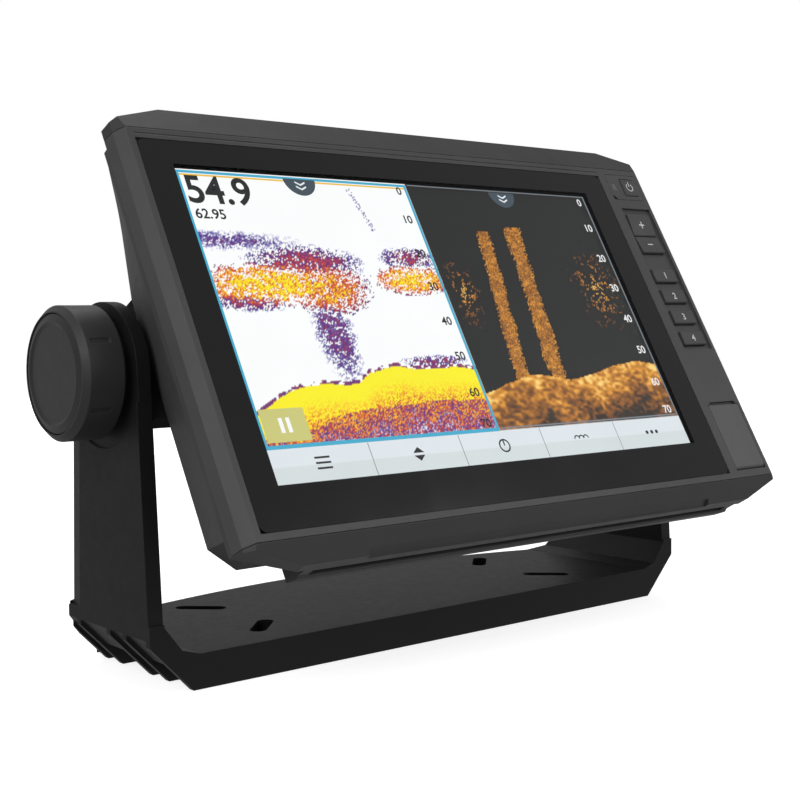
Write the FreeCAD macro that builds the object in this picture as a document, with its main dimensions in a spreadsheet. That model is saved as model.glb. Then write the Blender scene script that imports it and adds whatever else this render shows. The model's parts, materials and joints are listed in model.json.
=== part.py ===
import FreeCAD, Part
import math
import os
import re
import Sketcher

# A fish finder head unit in a quick-release cradle, which tilts in a bail bracket between two knobs.
# Bracket pieces use the part's own frame: origin at the middle of the four mounting slots, on the
# underside of the base, +X to the right of the screen, -Y to the front and +Z up.
# Pieces that tilt use a frame of their own, upright and centred on the tilt axis, and each body's
# Placement carries it to the pivot and leans it back.
# An outline or a cut that must reach past a face runs 1 mm beyond it.

# Every driving size, in millimetres or degrees: alias, value, meaning.
SIZES = [
    ("tilt_back", 29.5, "lean of the head unit at rest, degrees"),
    ("pivot_y", -13, "tilt axis, front to back"),
    ("pivot_z", 105, "tilt axis above the underside"),
    # bail bracket
    ("bail_half", 130.5, "outer face of an arm from the middle"),
    ("arm_wall", 5.5, "thickness of an arm"),
    ("arm_end_radius", 23.5, "rounded top of an arm"),
    ("arm_front", -42, "front of the bracket at its foot"),
    ("arm_rear", 15, "rear of an arm at its foot"),
    ("arm_foot", 18.5, "lower edge of an arm's outer face"),
    ("foot_half", 114.5, "half width of the flat underside"),
    ("foot_rise", 16.5, "height of the sloped outer corner"),
    ("base_top", 12, "height of the base's upper face"),
    ("base_skin", 4.5, "thickness of the base plate"),
    ("bend_low_x", 111.8, "inner bend, lower point"),
    ("bend_mid_x", 118.5, "inner bend, middle point"),
    ("bend_mid_z", 14, "inner bend, middle point height"),
    ("bend_top_z", 22.5, "inner bend, upper point height"),
    ("base_rear", 47, "rearmost point of the bowed rear edge"),
    ("rear_side_y", 29, "rear edge at the ends of the bow"),
    ("rear_side_x", 112, "ends of the bow from the middle"),
    ("rib_wall", 2.6, "thickness of a rib"),
    ("slot_x", 73, "slot centre from the middle, across"),
    ("slot_y", 20.8, "slot centre from the middle, front to back"),
    ("slot_radius", 3.05, "half width of a mounting slot"),
    ("slot_reach", 4.8, "slot end centre from slot centre, along each axis"),
    ("slot_boss", 4, "wall round a slot under the base"),
    ("arm_hole", 4.6, "radius of the hole for a knob's stud"),
    ("dish_margin", 3.1, "shallow dish behind a knob, past the knob's edge"),
    ("dish_depth", 0.7, "depth of that dish"),
    ("arm_bevel_deep", 1.8, "bevel on an arm's rear edge, sideways"),
    ("arm_bevel_long", 8, "bevel on an arm's rear edge, along the face"),
    # knobs
    ("knob_radius", 22.4, "outside of a knob"),
    ("knob_thick", 15, "knob from its inner to its outer face"),
    ("knob_bevel", 2, "bevel round the outer face"),
    ("knob_edge", 1, "bevel round the inner face"),
    ("knob_wall", 2.4, "wall round the recess in the outer face"),
    ("knob_well_depth", 4, "depth of that recess"),
    ("knob_notches", 6, "grip notches round a knob"),
    ("notch_radius", 1.1, "radius of a grip notch"),
    ("notch_start", 4.5, "grip notch, inner end from the knob's inner face"),
    ("notch_end", 11.5, "grip notch, outer end from the knob's inner face"),
    ("cap_gap", 0.3, "gap round the cap in a knob"),
    ("cap_rim", 3.7, "thickness of the cap at its edge"),
    ("cap_rise", 0.8, "rise of the cap's wide bevel"),
    ("cap_ring", 2.6, "width of that bevel"),
    ("cap_dish", 0.6, "depth of the shallow dish in the cap"),
    ("washer_thick", 2, "washer between knob and arm"),
    ("washer_radius", 13, "outside of that washer"),
    ("stud_radius", 4, "threaded stud"),
    ("stud_head_radius", 7.5, "head of the stud inside the knob"),
    ("stud_head_thick", 4.5, "thickness of that head"),
    ("stud_tip", 111.5, "inner end of the stud from the middle"),
    ("running_gap", 0.05, "radial clearance of a turning fit"),
    # cradle
    ("ear_inner", 107, "inner face of a cradle ear"),
    ("ear_outer", 123.4, "outer face of a cradle ear"),
    ("ear_front", -12, "front of an ear"),
    ("ear_half", 21.1, "half height of an ear at the tilt axis"),
    ("ear_corner", 4, "sloped front corners of an ear"),
    ("insert_radius", 7, "outside of the threaded insert"),
    ("pad_radius", 11.5, "outside of the friction ring"),
    ("pad_gap", 0.05, "friction ring to arm"),
    ("plate_front", 18, "front face of the cradle's back plate"),
    ("plate_back", 22, "rear face of that plate"),
    ("plate_half", 107.5, "half width of the plate at the ears"),
    ("plate_waist", 94, "half width of the plate below the ears"),
    ("plate_low", -64, "bottom of the plate"),
    ("plate_low_half", 87, "half width at the bottom"),
    ("plate_high", 42, "top of the plate"),
    ("plate_high_half", 95.5, "half width at the top"),
    ("shelf_top", -60, "upper face of the shelf"),
    ("shelf_half", 86, "half width of the shelf"),
    ("bead_y", -10, "tipping axis on the shelf's front edge"),
    ("bead_z", -57, "height of the tipping axis"),
    ("bead_radius", 2, "round bead the unit tips on"),
    ("bead_half", 80, "half length of the bead"),
    ("bead_neck", 1.2, "half thickness of the web under the bead"),
    ("bead_gap", 0.08, "clearance round the bead"),
    ("window_half", 56, "half width of the window for plugs"),
    ("window_low", -36, "bottom of the window"),
    ("window_high", 0, "top of the window"),
    ("rest_x", 80, "rest pad centre, across"),
    ("rest_low", -48, "lower rest pads"),
    ("rest_high", 28, "upper rest pads"),
    ("rest_radius", 5, "radius of a rest pad"),
    ("brace_x", 84, "stiffening rib on the plate"),
    ("brace_wall", 3, "thickness of that rib"),
    ("brace_deep", 5, "how far the rib stands out"),
    # release lever
    ("pin_y", 25, "lever pin, front to back"),
    ("pin_z", 43.5, "lever pin height"),
    ("pin_radius", 1.5, "lever pin"),
    ("hub_radius", 4.2, "lever hub round the pin"),
    ("lug_gap", 0.4, "lever to lug"),
    ("lug_wall", 4, "thickness of a lug"),
    ("lever_half", 13.6, "half width of the lever"),
    ("lever_low", 41.5, "underside of the lever arm"),
    ("lever_high", 45, "top of the lever arm"),
    ("tooth_front", 5.5, "front of the latch tooth"),
    ("tooth_rear", 10.2, "rear of the tooth where it meets the arm"),
    ("tooth_deep", 2.2, "tooth below the top of the housing"),
    ("tooth_gap", 0.35, "clearance between tooth and notch"),
    ("tab_end", 39, "rear end of the thumb tab"),
    ("tab_rise", 3, "rise of the thumb tab"),
    ("tab_under", 1.2, "thumb tab below the pin's axis"),
    ("tab_over", 1.8, "thumb tab above the pin's axis"),
    ("tab_nose", 1.5, "pointed end of the thumb tab"),
    ("hub_clear", 0.8, "room round the spring's turns"),
    ("spring_wire", 0.9, "side of the square spring wire"),
    ("spring_coil", 3, "mean radius of the spring"),
    ("spring_pitch", 1.25, "pitch of the spring"),
    ("spring_turns", 4, "turns of the spring"),
    ("spring_room", 7.5, "width kept free for the spring"),
    ("spring_margin", 1.2, "start of the spring in that room"),
    # connector lock
    ("lock_half", 68, "half width of the connector lock"),
    ("lock_low", -46, "bottom of the connector lock"),
    ("lock_high", -17, "top of the connector lock"),
    ("lock_thick", 2.5, "thickness of the connector lock"),
    ("lock_notch", 10.5, "radius of its plug notches"),
    ("lock_screw_x", 62.5, "lock screw, across"),
    ("lock_screw_z", -30, "lock screw height"),
    # head unit, front
    ("face_y", -50, "front plane of the bezel"),
    ("face_half", 125.8, "half width of the front plane"),
    ("bevel_half", 128.6, "half width behind the front bevel"),
    ("bevel_y", -46, "rear of the front bevel"),
    ("side_half", 129.3, "half width at the seam"),
    ("seam_y", -41, "rear face of the bezel"),
    ("face_low", -83.4, "lower parting line"),
    ("face_high", 64.1, "upper parting line"),
    ("bezel_wall", 2.4, "wall of the bezel"),
    ("ledge_front", -48.6, "face the cover glass is bonded to"),
    ("ledge_back", -46.5, "rear of that ledge"),
    ("glass_left", -123.2, "cover glass, left edge"),
    ("glass_right", 99.9, "cover glass, right edge"),
    ("glass_low", -80.8, "cover glass, lower edge"),
    ("glass_high", 60, "cover glass, upper edge"),
    ("glass_thick", 1.2, "cover glass thickness"),
    ("glass_corner", 3.2, "corner radius of the cover glass"),
    ("glass_gap", 0.2, "gap round the cover glass"),
    ("screen_gap", 0.3, "gap between cover glass and display panel"),
    ("groove_z", 62, "fine groove above the glass"),
    ("groove_wide", 0.5, "width of that groove"),
    ("groove_deep", 0.3, "depth of that groove"),
    ("screen_x", -12.5, "middle of the screen, across"),
    ("screen_z", -7.9, "middle of the screen, height"),
    ("panel_half_x", 104, "half width of the display panel"),
    ("panel_half_z", 63.3, "half height of the display panel"),
    ("panel_gap", 0.5, "bezel to display panel"),
    ("panel_thick", 2, "display panel thickness"),
    ("backlight_thick", 3.2, "backlight thickness"),
    ("tray_thick", 1, "display frame thickness"),
    ("layer_gap", 0.1, "gap between display layers"),
    ("divider_left", 101, "wall between display and keys"),
    ("divider_right", 104, "wall between display and keys"),
    ("key_wall_back", -47.1, "rear face of the wall behind the keys"),
    # flange and trims
    ("flange_half", 112, "half width of the mounting flanges"),
    ("flange_front", -44.5, "front of the mounting flanges"),
    ("flange_high", 71.5, "top of the upper flange"),
    ("flange_low", -88.8, "bottom of the lower flange"),
    ("flange_hole_x", 98, "flange screw hole, across"),
    ("flange_hole", 2.2, "radius of a flange screw hole"),
    ("trim_gap", 0.2, "parting gap of the trims"),
    ("trim_ridge_y", -47, "front ridge of the top trim"),
    ("trim_ridge_z", 74.8, "height of that ridge"),
    ("trim_back_y", -38.5, "rear of the top trim"),
    ("trim_back_z", 75.6, "top of the trim at its rear"),
    ("trim_wall", 2, "wall of the trims"),
    ("trim_back_half", 106, "half width of the trims behind the seam"),
    ("trim_flat_half", 109, "half width of the trims' long edge"),
    ("trim_end_drop", 6.6, "drop of the trims' ends"),
    ("trim_dip_half", 84, "half width of the shallow dips"),
    ("trim_dip", 0.9, "depth of the shallow dips"),
    ("chin_ridge_y", -46.2, "front ridge of the bottom trim"),
    ("chin_ridge_z", -91.2, "height of that ridge"),
    ("chin_back_y", -30, "rear of the bottom trim"),
    ("chin_lip_y", -36.5, "front of the rear lip"),
    ("chin_lip_z", -92, "bottom of the rear lip"),
    ("chin_slot_deep", 3, "depth of the long recess"),
    ("chin_slot_half", 102, "half length of the long recess"),
    # keys
    ("key_left", 107.4, "left side of the keys"),
    ("key_right", 121.4, "right side of the keys"),
    ("key_front", -50.4, "front of the keys"),
    ("key_floor", -48.8, "floor of the key recess"),
    ("key_pocket_left", 106, "key recess, left"),
    ("key_pocket_right", 124.2, "key recess, right"),
    ("key_pocket_low", -25.2, "key recess, lower end"),
    ("key_pocket_high", 44.1, "key recess, upper end"),
    ("key_gap", 0.25, "gap round a key"),
    ("key_foot", 0.9, "foot of a key beyond its sides"),
    ("key_foot_thick", 1, "thickness of that foot"),
    ("key_travel", 0.8, "travel of a key"),
    ("key_tall", 6.2, "height of a number key"),
    ("key_pitch", 10.1, "pitch of the number keys"),
    ("key_first", 10.4, "middle of the first number key"),
    ("key_slope", 0.9, "slope across a key's front"),
    ("plus_high", 41, "top of the plus key"),
    ("plus_low", 30.7, "bottom of the plus key"),
    ("minus_high", 30.3, "top of the minus key"),
    ("minus_low", 21.8, "bottom of the minus key"),
    ("power_left", 112.9, "power key, left"),
    ("power_right", 121.2, "power key, right"),
    ("power_low", 50.9, "power key, bottom"),
    ("power_high", 59.3, "power key, top"),
    ("power_panel_left", 104.5, "power panel, left"),
    ("power_panel_right", 123.3, "power panel, right"),
    ("power_panel_low", 48.7, "power panel, bottom"),
    ("power_panel_high", 61.3, "power panel, top"),
    ("power_panel_corner", 2.4, "sloped corner of the power panel"),
    ("power_panel_thick", 0.9, "power panel thickness"),
    ("sensor_x", 107.6, "light sensor, across"),
    ("sensor_z", 55.1, "light sensor height"),
    ("sensor_half_x", 1.2, "half width of the sensor window"),
    ("sensor_half_z", 1.6, "half height of the sensor window"),
    ("keymat_thick", 1, "rubber key mat"),
    ("keyboard_thick", 1.2, "key circuit board"),
    ("keymat_low", -27.5, "bottom of the key mat"),
    # card door
    ("door_left", 105.1, "card door, left"),
    ("door_right", 123.7, "card door, right"),
    ("door_low", -80, "card door, bottom"),
    ("door_high", -51.3, "card door, top"),
    ("door_thick", 1.8, "card door thickness"),
    ("door_gap", 0.3, "gap round the card door"),
    ("door_notch", 1.5, "finger notch above the door"),
    ("door_pin_radius", 0.6, "card door hinge pin"),
    ("door_knuckle", 2, "rounded lower edge of the door"),
    ("door_pin_y", -48, "door hinge axis, front to back"),
    ("seal_thick", 0.9, "card door seal thickness"),
    ("seal_wall", 1.2, "card door seal width"),
    ("card_left", 107.8, "card bay, left"),
    ("card_right", 121, "card bay, right"),
    ("card_low", -73.5, "card bay, bottom"),
    ("card_high", -53.6, "card bay, top"),
    ("card_slot_wide", 11.4, "card slot, length"),
    ("card_slot_tall", 1.2, "card slot, height"),
    ("reader_deep", 8, "depth of the card reader"),
    # rear housing
    ("gasket_thick", 0.8, "perimeter gasket"),
    ("gasket_outer", 127.4, "half width of the gasket"),
    ("housing_wall", 2.5, "wall of the rear housing"),
    ("rim_back_y", -36, "rear of the housing's straight rim"),
    ("rim_corner", 6, "sloped corners of the rim"),
    ("waist_y", -14, "rear of the tapered part"),
    ("waist_half", 119.6, "half width there"),
    ("waist_low", -79.5, "bottom there"),
    ("waist_high", 61, "top there"),
    ("waist_corner", 8, "sloped corners there"),
    ("waist_bend", 20, "height above which the sides lean in"),
    ("waist_lean", 5, "how far the sides lean in at the top"),
    ("block_back_y", 16, "rear face of the housing"),
    ("block_half", 100, "half width of the rear block"),
    ("block_low", -59.5, "bottom of the rear block"),
    ("block_high", 38, "top of the rear block"),
    ("block_corner", 16, "sloped corners of the rear block"),
    ("block_draft", 3, "draft of the rear block"),
    ("bar_half", 84, "half length of the bar round the bead groove"),
    ("case_screw_x", 34, "case screws sit at one and three times this"),
    ("case_screw_high", 58, "upper case screws"),
    ("case_screw_low", -73.8, "lower case screws"),
    ("case_screw_radius", 1.2, "case screw shank"),
    ("case_boss", 2.3, "boss round a case screw"),
    ("case_screw_head", 2.1, "case screw head radius"),
    ("case_head_deep", 2, "case screw head height"),
    ("case_screw_tip", -45.5, "front end of a case screw"),
    # inside
    ("board_y", -4, "front face of the main board"),
    ("board_thick", 1.6, "main board thickness"),
    ("board_margin", 8, "main board inside the rear block's sides and top"),
    ("board_rise", 11.5, "bottom of the main board above the block's bottom"),
    ("board_corner", 10, "sloped corners of the main board"),
    ("post_side", 10, "board posts in from the board's side edges"),
    ("post_rise", 6, "lower board posts above the board's bottom"),
    ("post_drop", 8, "upper board posts below the board's top"),
    ("post_radius", 3.2, "board post"),
    ("board_screw_radius", 1.2, "board screw shank"),
    ("board_screw_head", 2.4, "board screw head radius"),
    ("board_screw_deep", 6, "board screw below the board"),
    ("board_head_tall", 1.8, "board screw head height"),
    ("can_left", -62, "shield can, left"),
    ("can_right", -12, "shield can, right"),
    ("can_low", -34, "shield can, bottom"),
    ("can_high", 14, "shield can, top"),
    ("can_tall", 4, "shield can height"),
    ("can_wall", 0.4, "shield can wall"),
    ("spreader_y", -10.6, "front of the heat spreader"),
    ("spreader_thick", 2, "heat spreader thickness"),
    ("spreader_half", 70, "half width of the heat spreader"),
    ("spreader_low", -38, "bottom of the heat spreader"),
    ("spreader_high", 20, "top of the heat spreader"),
    ("spreader_leg", 62, "legs of the heat spreader, across"),
    ("spreader_leg_radius", 3, "leg radius"),
    ("antenna_half", 10, "half width of the antenna patch"),
    ("antenna_thick", 4, "antenna patch thickness"),
    ("antenna_front", -37, "front of the antenna patch"),
    ("antenna_back", -17.5, "rear of the antenna patch"),
    ("shelf_z", 52, "underside of the antenna shelf"),
    ("shelf_thick", 1.5, "antenna shelf thickness"),
    ("antenna_shelf_half", 14, "half width of the antenna shelf"),
    # sockets
    ("socket_pitch", 36, "distance between rear sockets"),
    ("socket_z", -18, "height of the rear sockets"),
    ("socket_radius", 9, "outside of a socket"),
    ("socket_wall", 1.4, "wall of a socket"),
    ("socket_floor", 4, "inner end of a socket's bore"),
    ("socket_end", 18.5, "outer end of a socket"),
    ("socket_collar", 10.5, "collar of a socket inside the case"),
    ("contact_radius", 0.55, "contact pin radius"),
    ("contact_end", 9.5, "outer end of a contact pin"),
    ("contact_ring", 3.6, "radius of the ring of contacts"),
    ("contact_tail", 1.5, "contact pins below the socket floor"),
]

ALIASES = {name for name, _, _ in SIZES}
AXIS_X = FreeCAD.Vector(1, 0, 0)
AXIS_Z = FreeCAD.Vector(0, 0, 1)
ORIGIN = FreeCAD.Vector(0, 0, 0)


def make_sheet(doc):
    """The spreadsheet of driving sizes: plain numbers with aliases."""
    sheet = doc.addObject("Spreadsheet::Sheet", "Dims")
    for row, (name, number, meaning) in enumerate(SIZES, start=1):
        sheet.set(f"A{row}", name)
        sheet.set(f"B{row}", str(number))
        sheet.set(f"C{row}", meaning)
        sheet.setAlias(f"B{row}", name)
    doc.recompute()
    return sheet


def bound(text):
    """The expression with each size's name turned into its cell."""
    return re.sub(r"[a-z_][a-z_0-9]*", lambda word: cell_of(word.group()), str(text))


def cell_of(word):
    return f"Dims.{word}" if word in ALIASES else word


class Workshop:
    """Makes sub-parts whose sketches, pads and pockets are bound to the sheet."""

    def __init__(self, doc, sheet):
        self.doc = doc
        self.sheet = sheet
        self.pieces = []
        pivot = FreeCAD.Vector(0, self.size("pivot_y"), self.size("pivot_z"))
        lean = FreeCAD.Rotation(AXIS_X, -self.size("tilt_back"))
        self.leaning = FreeCAD.Placement(pivot, lean)

    def size(self, text):
        """The number that an expression of sizes comes to."""
        return float(self.sheet.evalExpression(bound(text)))

    def vector(self, *texts):
        return FreeCAD.Vector(*[self.size(text) for text in texts])

    def body(self, label, upright=False):
        """A new body, leaning with the head unit unless it is part of the upright bracket."""
        body = self.doc.addObject("PartDesign::Body", label)
        body.Label = label
        if not upright:
            body.Placement = self.leaning
        self.pieces.append(body)
        return body

    def sketch(self, body, plane, offset):
        """An empty sketch on one of the body's own planes, moved along the plane's normal."""
        support = [item for item in body.Origin.OriginFeatures if item.Role == plane][0]
        sketch = body.newObject("Sketcher::SketchObject", f"{body.Label}_sketch")
        sketch.AttachmentSupport = [(support, "")]
        sketch.MapMode = "FlatFace"
        sketch.setExpression("AttachmentOffset.Base.z", bound(offset))
        return sketch

    def pin_down(self, sketch, edge, end, place, keep="xy"):
        """Binds a point of the sketch to its two coordinates."""
        for letter, kind, text in zip("xy", ("DistanceX", "DistanceY"), place):
            if letter in keep:
                rule = Sketcher.Constraint(kind, -1, 1, edge, end, self.size(text))
                index = sketch.addConstraint(rule)
                sketch.setExpression(f"Constraints[{index}]", bound(text))

    def loop(self, sketch, corners):
        """A closed outline. A corner is (x, y), or (x, y, centre x, centre y) to start an arc."""
        first = sketch.GeometryCount
        count = len(corners)
        points = [self.vector(x, y, 0) for x, y, *_ in corners]
        ends = []
        for index, corner in enumerate(corners):
            start, end = points[index], points[(index + 1) % count]
            if len(corner) == 2:
                sketch.addGeometry(Part.LineSegment(start, end), False)
                ends.append((1, 2))
            else:
                centre = self.vector(corner[2], corner[3], 0)
                sweep = sweep_between(start, end, centre)
                sketch.addGeometry(arc_from(start, sweep, centre), False)
                ends.append((1, 2) if sweep > 0 else (2, 1))
        for index, corner in enumerate(corners):
            edge, following = first + index, (index + 1) % count
            join = (edge, ends[index][1], first + following, ends[following][0])
            sketch.addConstraint(Sketcher.Constraint("Coincident", *join))
            keep = "xy"
            before = corners[index - 1]
            if len(before) == 4:
                keep = tangent_letter(points[index], self.vector(before[2], before[3], 0))
            self.pin_down(sketch, edge, ends[index][0], corner[:2], keep)
            if len(corner) == 4:
                self.pin_down(sketch, edge, 3, corner[2:])

    def ring(self, sketch, x, y, radius):
        """A full circle."""
        circle = Part.Circle(self.vector(x, y, 0), AXIS_Z, self.size(radius))
        edge = sketch.addGeometry(circle, False)
        self.pin_down(sketch, edge, 3, (x, y))
        index = sketch.addConstraint(Sketcher.Constraint("Radius", edge, self.size(radius)))
        sketch.setExpression(f"Constraints[{index}]", bound(radius))

    def draw(self, sketch, shapes):
        """Outlines are lists of corners and circles are tuples (x, y, radius)."""
        for shape in shapes:
            if isinstance(shape, tuple):
                self.ring(sketch, *shape)
            else:
                self.loop(sketch, shape)

    def add(self, body, plane, shapes, start, end):
        """Pads outlines from start to end along X, Y or Z, whichever the plane faces."""
        offset = f"-({end})" if plane == "XZ_Plane" else start
        sketch = self.sketch(body, plane, offset)
        self.draw(sketch, shapes)
        pad = body.newObject("PartDesign::Pad", f"{body.Label}_pad")
        pad.Profile = sketch
        pad.setExpression("Length", bound(f"({end}) - ({start})"))
        return self.finish(body, pad, growing=True)

    def cut(self, body, plane, shapes, start, end):
        """Pockets outlines from start to end along X, Y or Z, whichever the plane faces."""
        offset = f"-({start})" if plane == "XZ_Plane" else end
        sketch = self.sketch(body, plane, offset)
        self.draw(sketch, shapes)
        pocket = body.newObject("PartDesign::Pocket", f"{body.Label}_pocket")
        pocket.Profile = sketch
        pocket.setExpression("Length", bound(f"({end}) - ({start})"))
        return self.finish(body, pocket, growing=False)

    def loft(self, body, plane, near, near_place, far, far_place, hollow=False):
        """A solid or a hollow between two outlines on parallel planes."""
        sketches = []
        for outline, place in ((near, near_place), (far, far_place)):
            offset = f"-({place})" if plane == "XZ_Plane" else place
            sketch = self.sketch(body, plane, offset)
            self.draw(sketch, [outline])
            sketches.append(sketch)
        kind = "PartDesign::SubtractiveLoft" if hollow else "PartDesign::AdditiveLoft"
        loft = body.newObject(kind, f"{body.Label}_loft")
        loft.Profile = sketches[0]
        loft.Sections = sketches[1:]
        loft.Ruled = True
        return self.finish(body, loft, growing=not hollow)

    def turn(self, body, outline):
        """A solid turned about the X axis from an outline of (x, radius)."""
        sketch = self.sketch(body, "XY_Plane", "0")
        self.draw(sketch, [outline])
        turned = body.newObject("PartDesign::Revolution", f"{body.Label}_turned")
        turned.Profile = sketch
        turned.ReferenceAxis = (sketch, ["H_Axis"])
        turned.Angle = 360
        return self.finish(body, turned, growing=True)

    def finish(self, body, feature, growing):
        """Recomputes, and stops if the feature did nothing."""
        before = volume_before(body, feature)
        self.doc.recompute()
        body.Tip = feature
        if feature.Shape.isNull():
            raise RuntimeError(f"{feature.Label} made nothing")
        change = feature.Shape.Volume - before
        if (change <= 0) == growing:
            raise RuntimeError(f"{feature.Label} changed the volume by {change:.3f}")
        return feature

    def soften(self, body, kind, radius, chosen):
        """A fillet or chamfer on the edges of the body so far that the test picks."""
        base = body.Tip
        edges = base.Shape.Edges
        names = [f"Edge{number}" for number, edge in enumerate(edges, 1) if chosen(edge)]
        if not names:
            raise RuntimeError(f"no edge of {body.Label} to soften")
        feature = body.newObject(f"PartDesign::{kind}", f"{body.Label}_{kind.lower()}")
        feature.Base = (base, names)
        feature.setExpression("Radius" if kind == "Fillet" else "Size", bound(radius))
        self.doc.recompute()
        body.Tip = feature
        return feature

    def compound(self, label, solids, upright=False):
        """A group of separate equal solids, such as a set of screws."""
        group = self.doc.addObject("Part::Feature", label)
        group.Label = label
        group.Shape = Part.makeCompound(solids)
        if not upright:
            group.Placement = self.leaning
        self.pieces.append(group)
        return group


def volume_before(body, feature):
    base = getattr(feature, "BaseFeature", None) or body.Tip
    return base.Shape.Volume if base and not base.Shape.isNull() else 0.0


def sweep_between(start, end, centre):
    """The signed angle from start to end about the centre, the shorter way round."""
    spoke_a, spoke_b = start - centre, end - centre
    return math.atan2(spoke_a.x * spoke_b.y - spoke_a.y * spoke_b.x, spoke_a.dot(spoke_b))


def arc_from(start, sweep, centre):
    """The arc that begins at start and turns by the sweep; its own ends run anticlockwise."""
    spoke = start - centre
    angle = math.atan2(spoke.y, spoke.x)
    circle = Part.Circle(centre, AXIS_Z, spoke.Length)
    return Part.ArcOfCircle(circle, min(angle, angle + sweep), max(angle, angle + sweep))


def tangent_letter(point, centre):
    """The coordinate that fixes where a point lies on its arc."""
    spoke = point - centre
    return "x" if abs(spoke.y) > abs(spoke.x) else "y"


def along(edge, axis):
    """True for a straight edge that runs along the axis."""
    if edge.Curve.TypeId != "Part::GeomLine":
        return False
    return abs(abs(edge.Curve.Direction.dot(axis)) - 1) < 1e-6


def box(left, right, low, high):
    """A rectangular outline."""
    return [(left, low), (right, low), (right, high), (left, high)]


def mirrored(outline):
    """The outline closed by its own mirror image in the vertical axis."""
    return outline + [(f"-({x})", y) for x, y in reversed(outline)]


def octagon(half, low, high, corner, inset="0"):
    """A wide rectangle with sloped corners, drawn in by the inset."""
    side = f"({half}) - ({inset})"
    top, bottom = f"({high}) - ({inset})", f"({low}) + ({inset})"
    return mirrored([
        (f"{side} - ({corner})", bottom),
        (side, f"{bottom} + ({corner})"),
        (side, f"{top} - ({corner})"),
        (f"{side} - ({corner})", top),
    ])


def leaning_octagon(half, low, high, corner, lean, inset):
    """An octagon whose sides lean in above the housing's bend."""
    side = f"({half}) - ({inset})"
    top, bottom = f"({high}) - ({inset})", f"({low}) + ({inset})"
    return mirrored([
        (f"{side} - ({corner})", bottom),
        (side, f"{bottom} + ({corner})"),
        (side, "waist_bend"),
        (f"{side} - ({lean})", f"{top} - ({corner})"),
        (f"{side} - ({lean}) - ({corner})", top),
    ])


# bail bracket and knobs

def bail_bracket(shop):
    """The U-shaped bracket: two arms on a ribbed base with four diagonal slots."""
    body = shop.body("bail_bracket", upright=True)
    arm_inner = "bail_half - arm_wall"
    skin = mirrored([
        ("foot_half - 3.5", "base_top - base_skin"),
        ("bend_mid_x + 2.5", "base_top - base_skin + 1"),
        ("bail_half", "arm_foot"),
        ("bail_half", "bend_top_z + 1"),
        (arm_inner, "bend_top_z + 1"),
        (arm_inner, "bend_top_z"),
        ("bend_mid_x", "bend_mid_z"),
        ("bend_low_x", "base_top"),
    ])
    shop.add(body, "XZ_Plane", [skin], "arm_front", "base_rear")
    rib = mirrored([
        ("foot_half", "0"),
        ("bail_half", "foot_rise"),
        ("bail_half", "arm_foot + 1"),
        ("bend_mid_x + 2", "base_top - base_skin + 1.6"),
        ("foot_half - 3.5", "base_top - base_skin + 1"),
    ])
    for place in rib_places():
        shop.add(body, "XZ_Plane", [rib], place, f"{place} + rib_wall")
    bow = "(rear_side_x^2 + (base_rear - rear_side_y)^2) / (2 * (base_rear - rear_side_y))"
    centre_y = f"base_rear - {bow}"
    rim = [
        ("-rear_side_x", "rear_side_y", "0", centre_y),
        ("rear_side_x", "rear_side_y"),
        ("rear_side_x", "rear_side_y - rib_wall", "0", f"{centre_y} - rib_wall"),
        ("-rear_side_x", "rear_side_y - rib_wall"),
    ]
    shop.add(body, "XY_Plane", [rim], "0", "base_top - 1")
    behind = [
        ("-rear_side_x", "rear_side_y", "0", centre_y),
        ("rear_side_x", "rear_side_y"),
        ("bail_half", "arm_rear"),
        ("bail_half + 5", "arm_rear"),
        ("bail_half + 5", "base_rear + 5"),
        ("-(bail_half + 5)", "base_rear + 5"),
        ("-(bail_half + 5)", "arm_rear"),
        ("-bail_half", "arm_rear"),
    ]
    shop.cut(body, "XY_Plane", [behind], "-1", "bend_top_z + 2")
    centre_rib = box("-rib_wall / 2", "rib_wall / 2", "arm_front + 1", "rear_side_y + 15")
    shop.add(body, "XY_Plane", [centre_rib], "0", "base_top - 1")
    bail_slots(shop, body)
    bail_arms(shop, body)
    return body


def rib_places():
    """Front faces of the ribs under the base; the first is the front skirt."""
    return ["arm_front", "-slot_y - 5.5", "-slot_y + 5.5", "6", "slot_y - 4", "slot_y + 7"]


def bail_slots(shop, body):
    """Four slots at 45 degrees, each pointing at the middle, with a wall down to the underside."""
    for across in (-1, 1):
        for deep in (-1, 1):
            for radius, low in (("slot_radius + slot_boss", "0"), ("slot_radius", "-1")):
                step = f"({radius}) * sqrt(0.5)"
                near_x = f"{across} * (slot_x - slot_reach)"
                far_x = f"{across} * (slot_x + slot_reach)"
                near_y = f"{deep} * (slot_y - slot_reach)"
                far_y = f"{deep} * (slot_y + slot_reach)"
                side_x, side_y = f"{-deep} * {step}", f"{across} * {step}"
                slot = [
                    (f"{near_x} + {side_x}", f"{near_y} + {side_y}"),
                    (f"{far_x} + {side_x}", f"{far_y} + {side_y}",
                     far_x, far_y),
                    (f"{far_x} + {across} * {step}", f"{far_y} + {deep} * {step}",
                     far_x, far_y),
                    (f"{far_x} - {side_x}", f"{far_y} - {side_y}"),
                    (f"{near_x} - {side_x}", f"{near_y} - {side_y}",
                     near_x, near_y),
                    (f"{near_x} - {across} * {step}", f"{near_y} - {deep} * {step}",
                     near_x, near_y),
                ]
                if low == "0":
                    shop.add(body, "XY_Plane", [slot], low, "base_top - 1")
                else:
                    shop.cut(body, "XY_Plane", [slot], low, "base_top + 1")


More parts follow.
